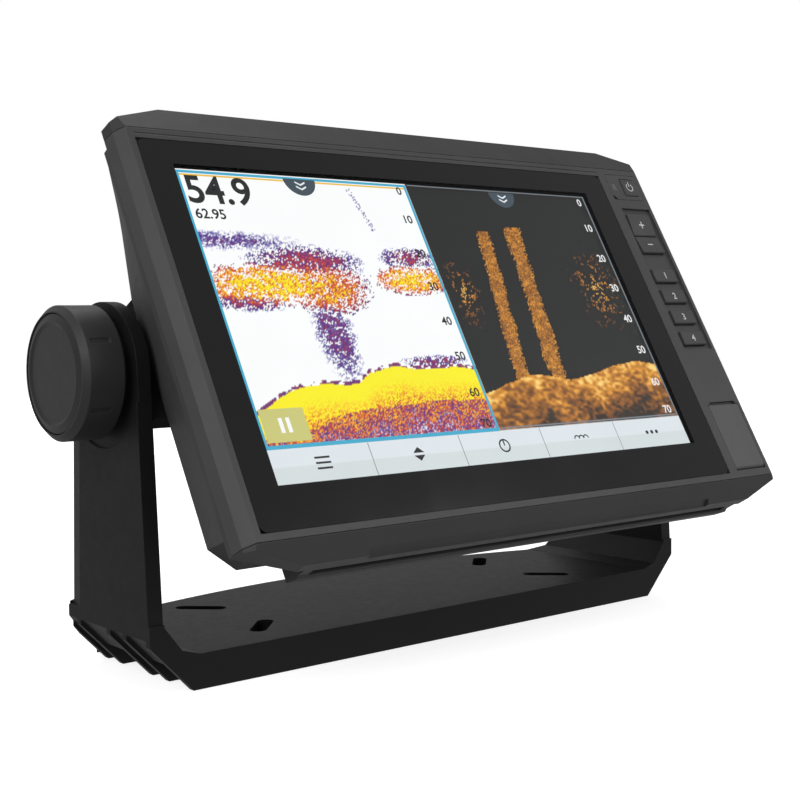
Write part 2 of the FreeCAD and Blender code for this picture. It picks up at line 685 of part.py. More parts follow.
def bail_arms(shop, body):
    """The two arms, each with a rounded top, a stud hole and a shallow dish for the knob."""
    front, rear = "pivot_y - arm_end_radius", "pivot_y + arm_end_radius"
    top = "pivot_z + arm_end_radius"
    side = [
        ("arm_front + 0.6", "bend_top_z - 4"),
        (front, "pivot_z", "pivot_y", "pivot_z"),
        ("pivot_y", top, "pivot_y", "pivot_z"),
        (rear, "pivot_z"),
        ("arm_rear - 0.4", "bend_top_z - 4"),
    ]
    for start, end in (("bail_half - arm_wall", "bail_half"), ("-bail_half", "arm_wall - bail_half")):
        shop.add(body, "YZ_Plane", [side], start, end)
    hole = ("pivot_y", "pivot_z", "arm_hole")
    shop.cut(body, "YZ_Plane", [hole], "-(bail_half + 1)", "bail_half + 1")
    for side in (-1, 1):
        bevels = []
        for back in ("arm_rear - 0.4", rear):
            bevels.append([
                (f"{side} * (bail_half + 1)", f"{back} - arm_bevel_long"),
                (f"{side} * bail_half", f"{back} - arm_bevel_long"),
                (f"{side} * (bail_half - arm_bevel_deep)", back),
                (f"{side} * (bail_half - arm_bevel_deep)", f"{back} + 1"),
                (f"{side} * (bail_half + 1)", f"{back} + 1"),
            ])
        shop.loft(body, "XY_Plane", bevels[0], "bend_top_z", bevels[1], "pivot_z", hollow=True)
    dish = ("pivot_y", "pivot_z", "knob_radius + dish_margin")
    shop.cut(body, "YZ_Plane", [dish], "bail_half - dish_depth", "bail_half + 1")
    shop.cut(body, "YZ_Plane", [dish], "-(bail_half + 1)", "dish_depth - bail_half")


def on_side(side, place):
    """The place along X on the right (1) or the left (-1)."""
    return f"{side} * ({place})"


def turned_profile(side, steps):
    """An outline of (x, radius) on one side of the middle, closed along the axis."""
    first, last = steps[0][0], steps[-1][0]
    outline = [(first, "0")] + steps + [(last, "0")]
    return [(on_side(side, x), radius) for x, radius in outline]


def bored_profile(side, steps):
    """An outline of (x, radius) that doesn't reach the axis."""
    return [(on_side(side, x), radius) for x, radius in steps]


def knob(shop, name, side):
    """A knob with a bevelled outer face, a recess for its cap, and grip notches."""
    body = shop.body(f"{name}_knob")
    inner = "bail_half + washer_thick"
    outer = f"{inner} + knob_thick"
    floor = f"{outer} - knob_well_depth"
    head_end = f"{floor} - stud_head_thick"
    profile = [
        (inner, "stud_radius"),
        (inner, "knob_radius - knob_edge"),
        (f"{inner} + knob_edge", "knob_radius"),
        (f"{outer} - knob_bevel", "knob_radius"),
        (outer, "knob_radius - knob_bevel"),
        (outer, "knob_radius - knob_wall"),
        (floor, "knob_radius - knob_wall"),
        (floor, "stud_head_radius"),
        (head_end, "stud_head_radius"),
        (head_end, "stud_radius"),
    ]
    shop.turn(body, bored_profile(side, profile))
    ends = [on_side(side, f"{inner} + notch_start"), on_side(side, f"{inner} + notch_end")]
    if side < 0:
        ends.reverse()
    shop.cut(body, "YZ_Plane", [("-(knob_radius + notch_radius / 2)", "0", "notch_radius")], *ends)
    pattern = body.newObject("PartDesign::PolarPattern", f"{name}_notches")
    pattern.Originals = [body.Tip]
    axis = [item for item in body.Origin.OriginFeatures if item.Role == "X_Axis"][0]
    pattern.Axis = (axis, [""])
    pattern.Angle = 360
    pattern.setExpression("Occurrences", bound("knob_notches"))
    body.Tip = pattern
    shop.doc.recompute()
    return body


def knob_cap(shop, name, side):
    """The inset disc over the stud's head: a wide bevel round a shallow dish."""
    body = shop.body(f"{name}_knob_cap")
    floor = "bail_half + washer_thick + knob_thick - knob_well_depth"
    radius = "knob_radius - knob_wall - cap_gap"
    top = f"{floor} + cap_rim + cap_rise"
    shop.turn(body, turned_profile(side, [
        (floor, radius),
        (f"{floor} + cap_rim", radius),
        (top, f"{radius} - cap_ring"),
        (f"{top} - cap_dish", f"{radius} - cap_ring - 2 * cap_dish"),
    ]))
    return body


def knob_stud(shop, name, side):
    """The threaded steel stud, whose head is held inside the knob."""
    body = shop.body(f"{name}_knob_stud")
    floor = "bail_half + washer_thick + knob_thick - knob_well_depth"
    head_end = f"{floor} - stud_head_thick"
    shop.turn(body, turned_profile(side, [
        ("stud_tip", "stud_radius - 0.8"),
        ("stud_tip + 0.8", "stud_radius"),
        (head_end, "stud_radius"),
        (head_end, "stud_head_radius"),
        (floor, "stud_head_radius"),
    ]))
    return body


def knob_washer(shop, name, side):
    """The plain washer that the knob presses on the arm."""
    body = shop.body(f"{name}_knob_washer")
    shop.turn(body, bored_profile(side, [
        ("bail_half - dish_depth + pad_gap", "stud_radius + running_gap"),
        ("bail_half - dish_depth + pad_gap", "washer_radius"),
        ("bail_half + washer_thick", "washer_radius"),
        ("bail_half + washer_thick", "stud_radius + running_gap"),
    ]))
    return body


# cradle, release lever and connector lock

def cradle_frame(shop):
    """The cradle: a back plate with two ears, a shelf with a tipping bead, and two lever lugs."""
    body = shop.body("cradle_frame")
    plate = mirrored([
        ("plate_low_half", "plate_low"),
        ("plate_waist", level_line("plate_back", "-ear_half - ear_corner")),
        ("plate_half", level_line("plate_back", "-ear_half")),
        ("plate_half", level_line("plate_front", "ear_half")),
        ("plate_high_half", "plate_high"),
    ])
    shop.add(body, "XZ_Plane", [plate], "plate_front", "plate_back")
    ear = [
        ("ear_front + ear_corner", level_line("ear_front + ear_corner", "-ear_half")),
        ("plate_back", level_line("plate_back", "-ear_half")),
        ("plate_back", level_line("plate_back", "ear_half")),
        ("ear_front + ear_corner", level_line("ear_front + ear_corner", "ear_half")),
        ("ear_front", level_line("ear_front", "ear_half - ear_corner")),
        ("ear_front", level_line("ear_front", "-ear_half + ear_corner")),
    ]
    for start, end in (("ear_inner", "ear_outer"), ("-ear_outer", "-ear_inner")):
        shop.add(body, "YZ_Plane", [ear], start, end)
    shelf = box("-shelf_half", "shelf_half", "bead_y - bead_radius", "plate_back")
    shop.add(body, "XY_Plane", [shelf], "plate_low", "shelf_top")
    neck = box("bead_y - bead_neck", "bead_y + bead_neck", "shelf_top - 1", "bead_z")
    bead = ("bead_y", "bead_z", "bead_radius")
    shop.add(body, "YZ_Plane", [neck], "-bead_half", "bead_half")
    shop.add(body, "YZ_Plane", [bead], "-bead_half", "bead_half")
    cradle_stiffening(shop, body)
    cradle_lugs(shop, body)
    window = box("-window_half", "window_half", "window_low", "window_high")
    shop.cut(body, "XZ_Plane", [window], "plate_front - 3", "plate_back + brace_deep")
    screws = [(f"{side} * lock_screw_x", "lock_screw_z", "case_screw_radius") for side in (-1, 1)]
    shop.cut(body, "XZ_Plane", screws, "plate_front - 1", "plate_back + 1")
    bore = ("0", "0", "insert_radius")
    shop.cut(body, "YZ_Plane", [bore], "ear_inner - 1", "ear_outer + 1")
    shop.cut(body, "YZ_Plane", [bore], "-(ear_outer + 1)", "1 - ear_inner")
    return body


def level_line(place, height):
    """The height at a place along Y of a line that is level with the ground at rest."""
    return f"{height} + ({place}) * tan(tilt_back)"


def cradle_stiffening(shop, body):
    """Rest pads that the housing leans on, and upright ribs behind the plate."""
    pads = [
        (f"{side} * rest_x", height, "rest_radius")
        for side in (-1, 1)
        for height in ("rest_low", "rest_high")
    ]
    shop.add(body, "XZ_Plane", pads, "block_back_y", "plate_front + 1")
    for side in (-1, 1):
        middle = f"{side} * brace_x"
        rib = box(f"{middle} - brace_wall / 2", f"{middle} + brace_wall / 2",
                  "plate_low", "plate_high - brace_deep")
        shop.add(body, "XZ_Plane", [rib], "plate_back - 1", "plate_back + brace_deep")


def cradle_lugs(shop, body):
    """Two lugs that hold the lever's pin, and the gap between them cut out of the plate."""
    inside = "lever_half + lug_gap"
    lug = [
        ("plate_front", "plate_high - 6"),
        ("pin_y + hub_radius", "plate_high - 6"),
        ("pin_y + hub_radius", "pin_z", "pin_y", "pin_z"),
        ("pin_y", "pin_z + hub_radius", "pin_y", "pin_z"),
        ("pin_y - hub_radius", "pin_z"),
        ("plate_front", "plate_high"),
    ]
    for start, end in ((inside, f"{inside} + lug_wall"), (f"-({inside} + lug_wall)", f"-({inside})")):
        shop.add(body, "YZ_Plane", [lug], start, end)
    gap = box(f"-({inside})", inside, "pin_z - hub_radius - 4.3", "plate_high + 1")
    shop.cut(body, "XZ_Plane", [gap], "plate_front - 1", "plate_back + 1")
    reach = f"{inside} + lug_wall + 1"
    hole = ("pin_y", "pin_z", "pin_radius")
    shop.cut(body, "YZ_Plane", [hole], f"-({reach})", reach)


def ear_inserts(shop):
    """Threaded brass inserts moulded into the ears."""
    solids = []
    for side in (-1, 1):
        start = shop.vector(f"{side} * ear_inner", "0", "0")
        length = shop.size("ear_outer - ear_inner")
        outside = Part.makeCylinder(shop.size("insert_radius"), length, start, AXIS_X * side)
        bore = shop.size("stud_radius + running_gap")
        solids.append(outside.cut(Part.makeCylinder(bore, length, start, AXIS_X * side)))
    return shop.compound("ear_inserts", solids)


def pivot_pads(shop):
    """Friction rings between the ears and the arms."""
    solids = []
    length = shop.size("bail_half - arm_wall - pad_gap - ear_outer")
    for side in (-1, 1):
        start = shop.vector(f"{side} * ear_outer", "0", "0")
        ring = Part.makeCylinder(shop.size("pad_radius"), length, start, AXIS_X * side)
        bore = shop.size("arm_hole")
        solids.append(ring.cut(Part.makeCylinder(bore, length, start, AXIS_X * side)))
    return shop.compound("pivot_pads", solids)


def release_lever(shop):
    """The latch: an arm with a sloped tooth, a hub on the pin and a thumb tab behind it."""
    body = shop.body("release_lever")
    tooth_tip = "block_high - tooth_deep"
    slope = f"lever_low - ({tooth_tip})"
    arm = [
        ("tooth_front", "lever_high"),
        ("tooth_front", tooth_tip),
        (f"tooth_rear + lever_low - block_high - ({slope})", tooth_tip),
        ("tooth_rear + lever_low - block_high", "lever_low"),
        ("pin_y", "lever_low"),
        ("pin_y", "lever_high"),
    ]
    shop.add(body, "YZ_Plane", [arm], "-lever_half", "lever_half")
    shop.add(body, "YZ_Plane", [("pin_y", "pin_z", "hub_radius")], "-lever_half", "lever_half")
    tab = [
        ("pin_y", "pin_z - tab_under"),
        ("tab_end", "pin_z - tab_under + tab_rise"),
        ("tab_end + tab_nose", "pin_z + tab_rise"),
        ("tab_end", "pin_z + tab_over + tab_rise"),
        ("pin_y", "pin_z + tab_over"),
    ]
    shop.add(body, "YZ_Plane", [tab], "-lever_half", "lever_half")
    room = box("lever_half - spring_room", "lever_half + 1", "pin_y - hub_radius - hub_clear",
               "pin_y + hub_radius + hub_clear")
    shop.cut(body, "XY_Plane", [room], "pin_z - hub_radius - 1", "pin_z + hub_radius + 1")
    hole = ("pin_y", "pin_z", "pin_radius + running_gap")
    shop.cut(body, "YZ_Plane", [hole], "-(lever_half + 1)", "lever_half + 1")
    return body


def lever_pin(shop):
    """The steel pin through the lugs and the lever."""
    reach = shop.size("lever_half + lug_gap + lug_wall")
    start = shop.vector("-(lever_half + lug_gap + lug_wall)", "pin_y", "pin_z")
    pin = Part.makeCylinder(shop.size("pin_radius"), 2 * reach, start, AXIS_X)
    return shop.compound("lever_pin", [pin])


def lever_spring(shop):
    """The square wire coil round the pin that snaps the lever shut."""
    coil, pitch = shop.size("spring_coil"), shop.size("spring_pitch")
    helix = Part.makeHelix(pitch, pitch * shop.size("spring_turns"), coil)
    reach = shop.size("spring_wire / 2")
    corners = [FreeCAD.Vector(coil + across * reach, 0, rise * reach)
               for across, rise in ((-1, -1), (1, -1), (1, 1), (-1, 1), (-1, -1))]
    spring = Part.Wire(helix).makePipeShell([Part.makePolygon(corners)], True, True)
    spring.rotate(ORIGIN, FreeCAD.Vector(0, 1, 0), 90)
    spring.translate(shop.vector("lever_half - spring_room + spring_margin", "pin_y", "pin_z"))
    return shop.compound("lever_spring", [spring])


def connector_lock(shop):
    """The bracket that keeps the plugs in the cradle, with a notch for each."""
    body = shop.body("connector_lock")
    outline = [
        ("-lock_half", "lock_low"),
        ("lock_half", "lock_low"),
        ("lock_half", "lock_high"),
        ("-lock_half", "lock_high"),
    ]
    back = "plate_back + lock_thick"
    shop.add(body, "XZ_Plane", [outline], "plate_back", back)
    notches = [(f"{step} * socket_pitch", "socket_z", "lock_notch") for step in (-1, 0, 1)]
    shop.cut(body, "XZ_Plane", notches, "plate_back - 1", f"{back} + 1")
    screws = [(f"{side} * lock_screw_x", "lock_screw_z", "case_screw_radius") for side in (-1, 1)]
    shop.cut(body, "XZ_Plane", screws, "plate_back - 1", f"{back} + 1")
    return body


def screw(shop, place, shank_radius, head_radius, shank_length, head_tall):
    """A pan-head screw that enters towards the front, its head seated at the place."""
    front = FreeCAD.Vector(0, -1, 0)
    shank = Part.makeCylinder(shank_radius, shank_length, place, front)
    head = Part.makeCylinder(head_radius, head_tall, place, front * -1)
    recess = Part.makeBox(head_radius, head_tall, head_radius / 4)
    recess.translate(place + FreeCAD.Vector(-head_radius / 2, head_tall / 2, -head_radius / 8))
    return shank.fuse(head).removeSplitter().cut(recess)


def lock_screws(shop):
    """The two screws of the connector lock."""
    solids = []
    for side in (-1, 1):
        place = shop.vector(f"{side} * lock_screw_x", "plate_back + lock_thick", "lock_screw_z")
        length = shop.size("plate_back - plate_front + lock_thick - 0.5")
        solids.append(screw(shop, place, shop.size("case_screw_radius"),
                            shop.size("board_screw_head"), length, shop.size("board_head_tall")))
    return shop.compound("lock_screws", solids)


# front of the head unit

def front_bezel(shop):
    """The front frame with the screen opening, key recess, card bay and mounting flanges."""
    body = shop.body("front_bezel")
    plan = mirrored([
        ("face_half", "face_y"),
        ("bevel_half", "bevel_y"),
        ("side_half", "seam_y"),
    ])
    shop.add(body, "XY_Plane", [plan], "face_low", "face_high")
    upper = box("-flange_half", "flange_half", "face_high - 1", "flange_high")
    lower = box("-flange_half", "flange_half", "flange_low", "face_low + 1")
    holes = []
    for side in (-1, 0, 1):
        across = f"{side} * flange_hole_x"
        holes.append((across, "(face_high + flange_high) / 2", "flange_hole"))
        holes.append((across, "(face_low + flange_low) / 2", "flange_hole"))
    shop.add(body, "XZ_Plane", [upper, lower], "flange_front", "seam_y")
    shop.cut(body, "XZ_Plane", holes, "flange_front - 1", "seam_y + 1")
    glass = box("glass_left - glass_gap", "glass_right + glass_gap",
                "glass_low - glass_gap", "glass_high + glass_gap")
    shop.cut(body, "XZ_Plane", [glass], "face_y - 1", "ledge_front")
    opening = panel_box("panel_gap")
    shop.cut(body, "XZ_Plane", [opening], "ledge_front - 1", "ledge_back + 1")
    inside_low, inside_high = "face_low + bezel_wall", "face_high - bezel_wall"
    left = box("-(bevel_half - bezel_wall)", "divider_left", inside_low, inside_high)
    shop.cut(body, "XZ_Plane", [left], "ledge_back", "seam_y + 1")
    right = box("divider_right", "bevel_half - bezel_wall", "keymat_low - 3", inside_high)
    shop.cut(body, "XZ_Plane", [right], "key_wall_back", "seam_y + 1")
    groove = box("glass_left", "glass_right", "groove_z - groove_wide / 2",
                 "groove_z + groove_wide / 2")
    shop.cut(body, "XZ_Plane", [groove], "face_y - 1", "face_y + groove_deep")
    bezel_bosses(shop, body)
    bezel_keys(shop, body)
    bezel_card_bay(shop, body)
    return body


def panel_box(spare):
    """The outline of the display panel, widened by the spare room."""
    half_x, half_z = f"(panel_half_x + {spare})", f"(panel_half_z + {spare})"
    return box(f"screen_x - {half_x}", f"screen_x + {half_x}",
               f"screen_z - {half_z}", f"screen_z + {half_z}")


def case_screw_spots():
    """Where the eight case screws run, seen from the front."""
    return [(f"{step} * case_screw_x", height)
            for height in ("case_screw_low", "case_screw_high") for step in (-3, -1, 1, 3)]


def bezel_bosses(shop, body):
    """Bosses that the case screws bite into."""
    bosses = [(x, z, "case_boss") for x, z in case_screw_spots()]
    shop.add(body, "XZ_Plane", bosses, "ledge_back - 0.5", "seam_y")
    bores = [(x, z, "case_screw_radius") for x, z in case_screw_spots()]
    shop.cut(body, "XZ_Plane", bores, "case_screw_tip - 0.3", "seam_y + 1")


def bezel_keys(shop, body):
    """The key recess with its openings, and the seat of the power panel."""
    recess = box("key_pocket_left", "key_pocket_right", "key_pocket_low", "key_pocket_high")
    shop.cut(body, "XZ_Plane", [recess], "face_y - 1", "key_floor")
    openings = [
        box("key_left - key_gap", "key_right + key_gap", "minus_low - key_gap", "plus_high + key_gap"),
    ]
    for number in range(4):
        low, high = number_key_span(number)
        openings.append(box("key_left - key_gap", "key_right + key_gap",
                            f"{low} - key_gap", f"{high} + key_gap"))
    shop.cut(body, "XZ_Plane", openings, "key_floor - 1", "key_wall_back + 0.5")
    seat = box("power_panel_left - glass_gap", "power_panel_right + glass_gap",
               "power_panel_low - glass_gap", "power_panel_high + glass_gap")
    shop.cut(body, "XZ_Plane", [seat], "face_y - 1", "face_y + power_panel_thick")
    power = box("power_left - key_gap", "power_right + key_gap",
                "power_low - key_gap", "power_high + key_gap")
    shop.cut(body, "XZ_Plane", [power], "face_y", "key_wall_back + 0.5")
    sensor = box("sensor_x - sensor_half_x", "sensor_x + sensor_half_x",
                 "sensor_z - sensor_half_z", "sensor_z + sensor_half_z")
    shop.cut(body, "XZ_Plane", [sensor], "face_y", "key_wall_back + 0.5")


def number_key_span(number):
    """Bottom and top of a number key, counted from the top one."""
    middle = f"key_first - {number} * key_pitch"
    return f"{middle} - key_tall / 2", f"{middle} + key_tall / 2"


def bezel_card_bay(shop, body):
    """The door's recess with its hinge trough, the finger notch and the card bay."""
    left, right = "door_left - door_gap", "door_right + door_gap"
    floor = "face_y + door_thick + seal_thick"
    recess = box(left, right, "door_low - door_gap", "door_high + door_gap")
    shop.cut(body, "XZ_Plane", [recess], "face_y - 1", floor)
    trough = box(left, right, "door_low - door_gap", "door_low + 2 * door_knuckle + door_gap")
    shop.cut(body, "XZ_Plane", [trough], "face_y - 1", "door_pin_y + door_knuckle + door_gap")
    notch = box("door_left + 1", "door_right - 1", "door_high", "door_high + door_notch")
    shop.cut(body, "XZ_Plane", [notch], "face_y - 1", "face_y + 1.2")
    bay = box("card_left", "card_right", "card_low", "card_high")
    shop.cut(body, "XZ_Plane", [bay], "face_y", "seam_y + 1")
    pin = ("door_pin_y", "door_low + door_knuckle", "door_pin_radius")
    shop.cut(body, "YZ_Plane", [pin], "door_left - 3", "door_right + 2")


def trim(shop, label, section, cavity, corners, dip_box):
    """A snap-on cover along the top or the bottom of the bezel."""
    body = shop.body(label)
    shop.add(body, "YZ_Plane", [section], "-side_half", "side_half")
    for side in (-1, 1):
        shop.cut(body, "XZ_Plane", [[(f"{side} * ({x})", z) for x, z in corners]],
                 "face_y - 1", "chin_back_y + 1")
        plan = [
            ("face_half", "face_y"),
            ("bevel_half", "bevel_y"),
            ("side_half", "seam_y"),
            ("side_half + 1", "seam_y"),
            ("side_half + 1", "face_y - 1"),
            ("face_half", "face_y - 1"),
        ]
        behind = box("trim_back_half", "side_half + 1", "seam_y", "chin_back_y + 1")
        for outline in (plan, behind):
            shop.cut(body, "XY_Plane", [[(f"{side} * ({x})", y) for x, y in outline]],
                     "chin_lip_z - 1", "trim_back_z + 1")
    shop.cut(body, "YZ_Plane", [cavity], "-(flange_half + trim_gap)", "flange_half + trim_gap")
    shop.cut(body, "YZ_Plane", [dip_box], "-trim_dip_half", "trim_dip_half")
    return body


def top_trim(shop):
    """The cover over the upper mounting flange."""
    foot = "face_high + trim_gap"
    section = [
        ("face_y", foot),
        ("trim_ridge_y", "trim_ridge_z"),
        ("trim_back_y", "trim_back_z"),
        ("trim_back_y", foot),
    ]
    cavity = box("flange_front - trim_gap", "trim_back_y + 1", f"{foot} - 1", "trim_ridge_z - trim_wall")
    corners = [
        ("trim_flat_half", "trim_back_z + 1"),
        ("trim_flat_half", "trim_ridge_z"),
        ("side_half", "trim_ridge_z - trim_end_drop"),
        ("side_half + 1", "trim_ridge_z - trim_end_drop"),
        ("side_half + 1", "trim_back_z + 1"),
    ]
    dip = box("trim_ridge_y + 1.5", "trim_back_y + 1", "trim_ridge_z - trim_dip / 2", "trim_back_z + 1")
    return trim(shop, "top_trim", section, cavity, corners, dip)


def bottom_trim(shop):
    """The cover over the lower mounting flange, with a long recess along its underside."""
    foot = "face_low - trim_gap"
    section = [
        ("face_y", foot),
        ("chin_ridge_y", "chin_ridge_z"),
        ("chin_lip_y - 0.5", "chin_ridge_z"),
        ("chin_lip_y + 1", "chin_lip_z"),
        ("chin_back_y", "chin_lip_z + 1"),
        ("chin_back_y", f"{foot} - 1.6"),
        ("seam_y + 2", f"{foot} - 1.6"),
        ("seam_y + 1", foot),
    ]
    cavity = box("flange_front - trim_gap", "seam_y + 0.2", "flange_low - trim_gap", f"{foot} + 1")
    corners = [
        ("trim_flat_half", "chin_lip_z - 1"),
        ("trim_flat_half", "chin_ridge_z"),
        ("side_half", "chin_ridge_z + trim_end_drop"),
        ("side_half + 1", "chin_ridge_z + trim_end_drop"),
        ("side_half + 1", "chin_lip_z - 1"),
    ]
    dip = [
        ("chin_ridge_y - 1.6", "chin_ridge_z - 1"),
        ("chin_ridge_y - 1.6", "chin_ridge_z + 2.4"),
        ("chin_ridge_y + 1.5", "chin_ridge_z + trim_dip"),
        ("chin_ridge_y + 3.4", "chin_ridge_z - 1"),
    ]
    body = trim(shop, "bottom_trim", section, cavity, corners, dip)
    recess = box("seam_y + 1.2", "chin_lip_y", "chin_lip_z - 1", "chin_ridge_z + chin_slot_deep")
    shop.cut(body, "YZ_Plane", [recess], "-chin_slot_half", "chin_slot_half")
    return body


def plate(shop, label, outline, front, thickness):
    """A flat sheet seen from the front."""
    body = shop.body(label)
    shop.add(body, "XZ_Plane", [outline], front, f"{front} + {thickness}")
    return body


def cover_glass(shop):
    """The bonded cover glass with rounded corners."""
    outline = box("glass_left", "glass_right", "glass_low", "glass_high")
    body = plate(shop, "cover_glass", outline, "ledge_front - glass_thick", "glass_thick")
    across = FreeCAD.Vector(0, 1, 0)
    shop.soften(body, "Fillet", "glass_corner", lambda edge: along(edge, across))
    return body


def display_stack(shop):
    """The display panel, its backlight and the metal frame behind them."""
    front = "ledge_front + screen_gap"
    for label, thickness in (
        ("display_panel", "panel_thick"),
        ("backlight", "backlight_thick"),
        ("display_frame", "tray_thick"),
    ):
        plate(shop, label, panel_box("0"), front, thickness)
        front = f"{front} + {thickness} + layer_gap"


# keys, key mat and card door

def key(shop, label, low, high, left, right, front_low, front_high, feet="sides"):
    """A key cap whose front can slope, on a wider foot that stops behind the bezel."""
    body = shop.body(label)
    edge = "key_slope / 2"
    section = [
        (f"{front_low} + {edge}", low),
        (front_low, f"{low} + {edge}"),
        (front_high, f"{high} - {edge}"),
        (f"{front_high} + {edge}", high),
        ("key_wall_back + key_foot_thick", high),
        ("key_wall_back + key_foot_thick", low),
    ]
    shop.add(body, "YZ_Plane", [section], left, right)
    foot_low, foot_high = low, high
    if feet == "all":
        foot_low, foot_high = f"{low} - key_foot", f"{high} + key_foot"
    foot = box(f"{left} - key_foot", f"{right} + key_foot", foot_low, foot_high)
    shop.add(body, "XZ_Plane", [foot], "key_wall_back", "key_wall_back + key_foot_thick")
    return body


def keys(shop):
    """The power key, the plus and minus pair that slope to each other, and four number keys."""
    key(shop, "power_key", "power_low", "power_high", "power_left", "power_right",
        "key_front", "key_front")
    key(shop, "plus_key", "plus_low", "plus_high", "key_left", "key_right",
        "key_front + key_slope", "key_front")
    key(shop, "minus_key", "minus_low", "minus_high", "key_left", "key_right",
        "key_front", "key_front + key_slope")
    for number in range(4):
        low, high = number_key_span(number)
        key(shop, f"key_{number + 1}", low, high, "key_left", "key_right",
            "key_front", "key_front", feet="all")


def power_panel(shop):
    """The small framed panel round the power key and the light sensor."""
    body = shop.body("power_panel")
    outline = [
        ("power_panel_left + power_panel_corner", "power_panel_low"),
        ("power_panel_right", "power_panel_low"),
        ("power_panel_right", "power_panel_high"),
        ("power_panel_left", "power_panel_high"),
        ("power_panel_left", "power_panel_low + power_panel_corner"),
    ]
    back = "face_y + power_panel_thick"
    shop.add(body, "XZ_Plane", [outline], "face_y", back)
    holes = [
        box("power_left - key_gap", "power_right + key_gap",
            "power_low - key_gap", "power_high + key_gap"),
        box("sensor_x - sensor_half_x", "sensor_x + sensor_half_x",
            "sensor_z - sensor_half_z", "sensor_z + sensor_half_z"),
    ]
    shop.cut(body, "XZ_Plane", holes, "face_y - 1", f"{back} + 1")
    return body


def light_sensor_window(shop):
    """The clear rod that leads light from the panel to the sensor."""
    outline = box("sensor_x - sensor_half_x", "sensor_x + sensor_half_x",
                  "sensor_z - sensor_half_z", "sensor_z + sensor_half_z")
    return plate(shop, "light_sensor_window", outline, "face_y + 0.1", "key_wall_back - face_y")


def key_mat(shop):
    """The rubber mat whose domes return the keys; the keys touch it only when pressed."""
    outline = box("divider_right + 0.6", "bevel_half - bezel_wall - 0.6",
                  "keymat_low", "face_high - bezel_wall - 0.6")
    front = "key_wall_back + key_foot_thick + key_travel + 0.2"
    return plate(shop, "key_mat", outline, front, "keymat_thick")


def key_board(shop):
    """The circuit board behind the key mat."""
    outline = box("divider_right + 0.6", "bevel_half - bezel_wall - 0.6",
                  "keymat_low", "face_high - bezel_wall - 0.6")
    front = "key_wall_back + key_foot_thick + key_travel + 0.2 + keymat_thick"
    return plate(shop, "key_board", outline, front, "keyboard_thick")


def card_door(shop):
    """The door over the memory cards: a plate on a rounded knuckle along its lower edge."""
    body = shop.body("card_door")
    pin_z = "door_low + door_knuckle"
    section = [
        ("face_y", "door_high"),
        ("face_y", pin_z, "door_pin_y", pin_z),
        ("door_pin_y", "door_low", "door_pin_y", pin_z),
        ("door_pin_y + door_knuckle", pin_z, "door_pin_y", pin_z),
        ("door_pin_y", f"{pin_z} + door_knuckle"),
        ("face_y + door_thick", f"{pin_z} + door_knuckle"),
        ("face_y + door_thick", "door_high"),
    ]
    shop.add(body, "YZ_Plane", [section], "door_left", "door_right")
    hole = ("door_pin_y", pin_z, "door_pin_radius + running_gap")
    shop.cut(body, "YZ_Plane", [hole], "door_left - 1", "door_right + 1")
    return body


def card_door_pin(shop):
    """The door's hinge pin, held by the bezel."""
    start = shop.vector("door_left - 2.9", "door_pin_y", "door_low + door_knuckle")
    length = shop.size("door_right - door_left + 4.8")
    pin = Part.makeCylinder(shop.size("door_pin_radius"), length, start, AXIS_X)
    return shop.compound("card_door_pin", [pin])


def card_door_seal(shop):
    """The rubber ring on the back of the door, round the card bay."""
    body = shop.body("card_door_seal")
    back = "face_y + door_thick + seal_thick - layer_gap"
    outer = box("card_left - seal_wall", "card_right + seal_wall",
                "card_low", "card_high + seal_wall")
    inner = box("card_left", "card_right", "card_low + seal_wall", "card_high")
    shop.add(body, "XZ_Plane", [outer, inner], "face_y + door_thick", back)
    return body


def card_reader(shop):
    """The memory-card reader with two slots, at the back of the card bay."""
    body = shop.body("card_reader")
    outline = box("card_left - 1", "card_right", "card_low + 1", "card_high + 1")
    front = "seam_y"
    shop.add(body, "XZ_Plane", [outline], front, f"{front} + reader_deep")
    middle = "(card_left + card_right) / 2"
    slots = [
        box(f"{middle} - card_slot_wide / 2", f"{middle} + card_slot_wide / 2",
            f"{height} - card_slot_tall / 2", f"{height} + card_slot_tall / 2")
        for height in ("card_low + 6", "card_high - 6")
    ]
    shop.cut(body, "XZ_Plane", slots, f"{front} - 1", f"{front} + reader_deep - 1")
    return body


# rear of the head unit

def gasket(shop):
    """The rubber gasket between bezel and rear housing."""
    body = shop.body("housing_gasket")
    outer = octagon("gasket_outer", "face_low + 0.5", "face_high - 0.5", "0.6")
    inner = octagon("gasket_outer - bezel_wall", "face_low + 0.5 + bezel_wall",
                    "face_high - 0.5 - bezel_wall", "0.6")
    shop.add(body, "XZ_Plane", [outer, inner], "seam_y", "seam_y + gasket_thick")
    return body


def housing_outlines(inset):
    """Front rim, waist and block outlines of the housing, drawn in by the inset."""
    rim = leaning_octagon("gasket_outer", "face_low + 0.3", "face_high - 0.3", "rim_corner",
                          "0", inset)
    waist = leaning_octagon("waist_half", "waist_low", "waist_high", "waist_corner",
                            "waist_lean", inset)
    block = octagon("block_half", "block_low", "block_high", "block_corner", inset)
    rear = octagon("block_half - block_draft", "block_low + block_draft",
                   "block_high", "block_corner", inset)
    return rim, waist, block, rear


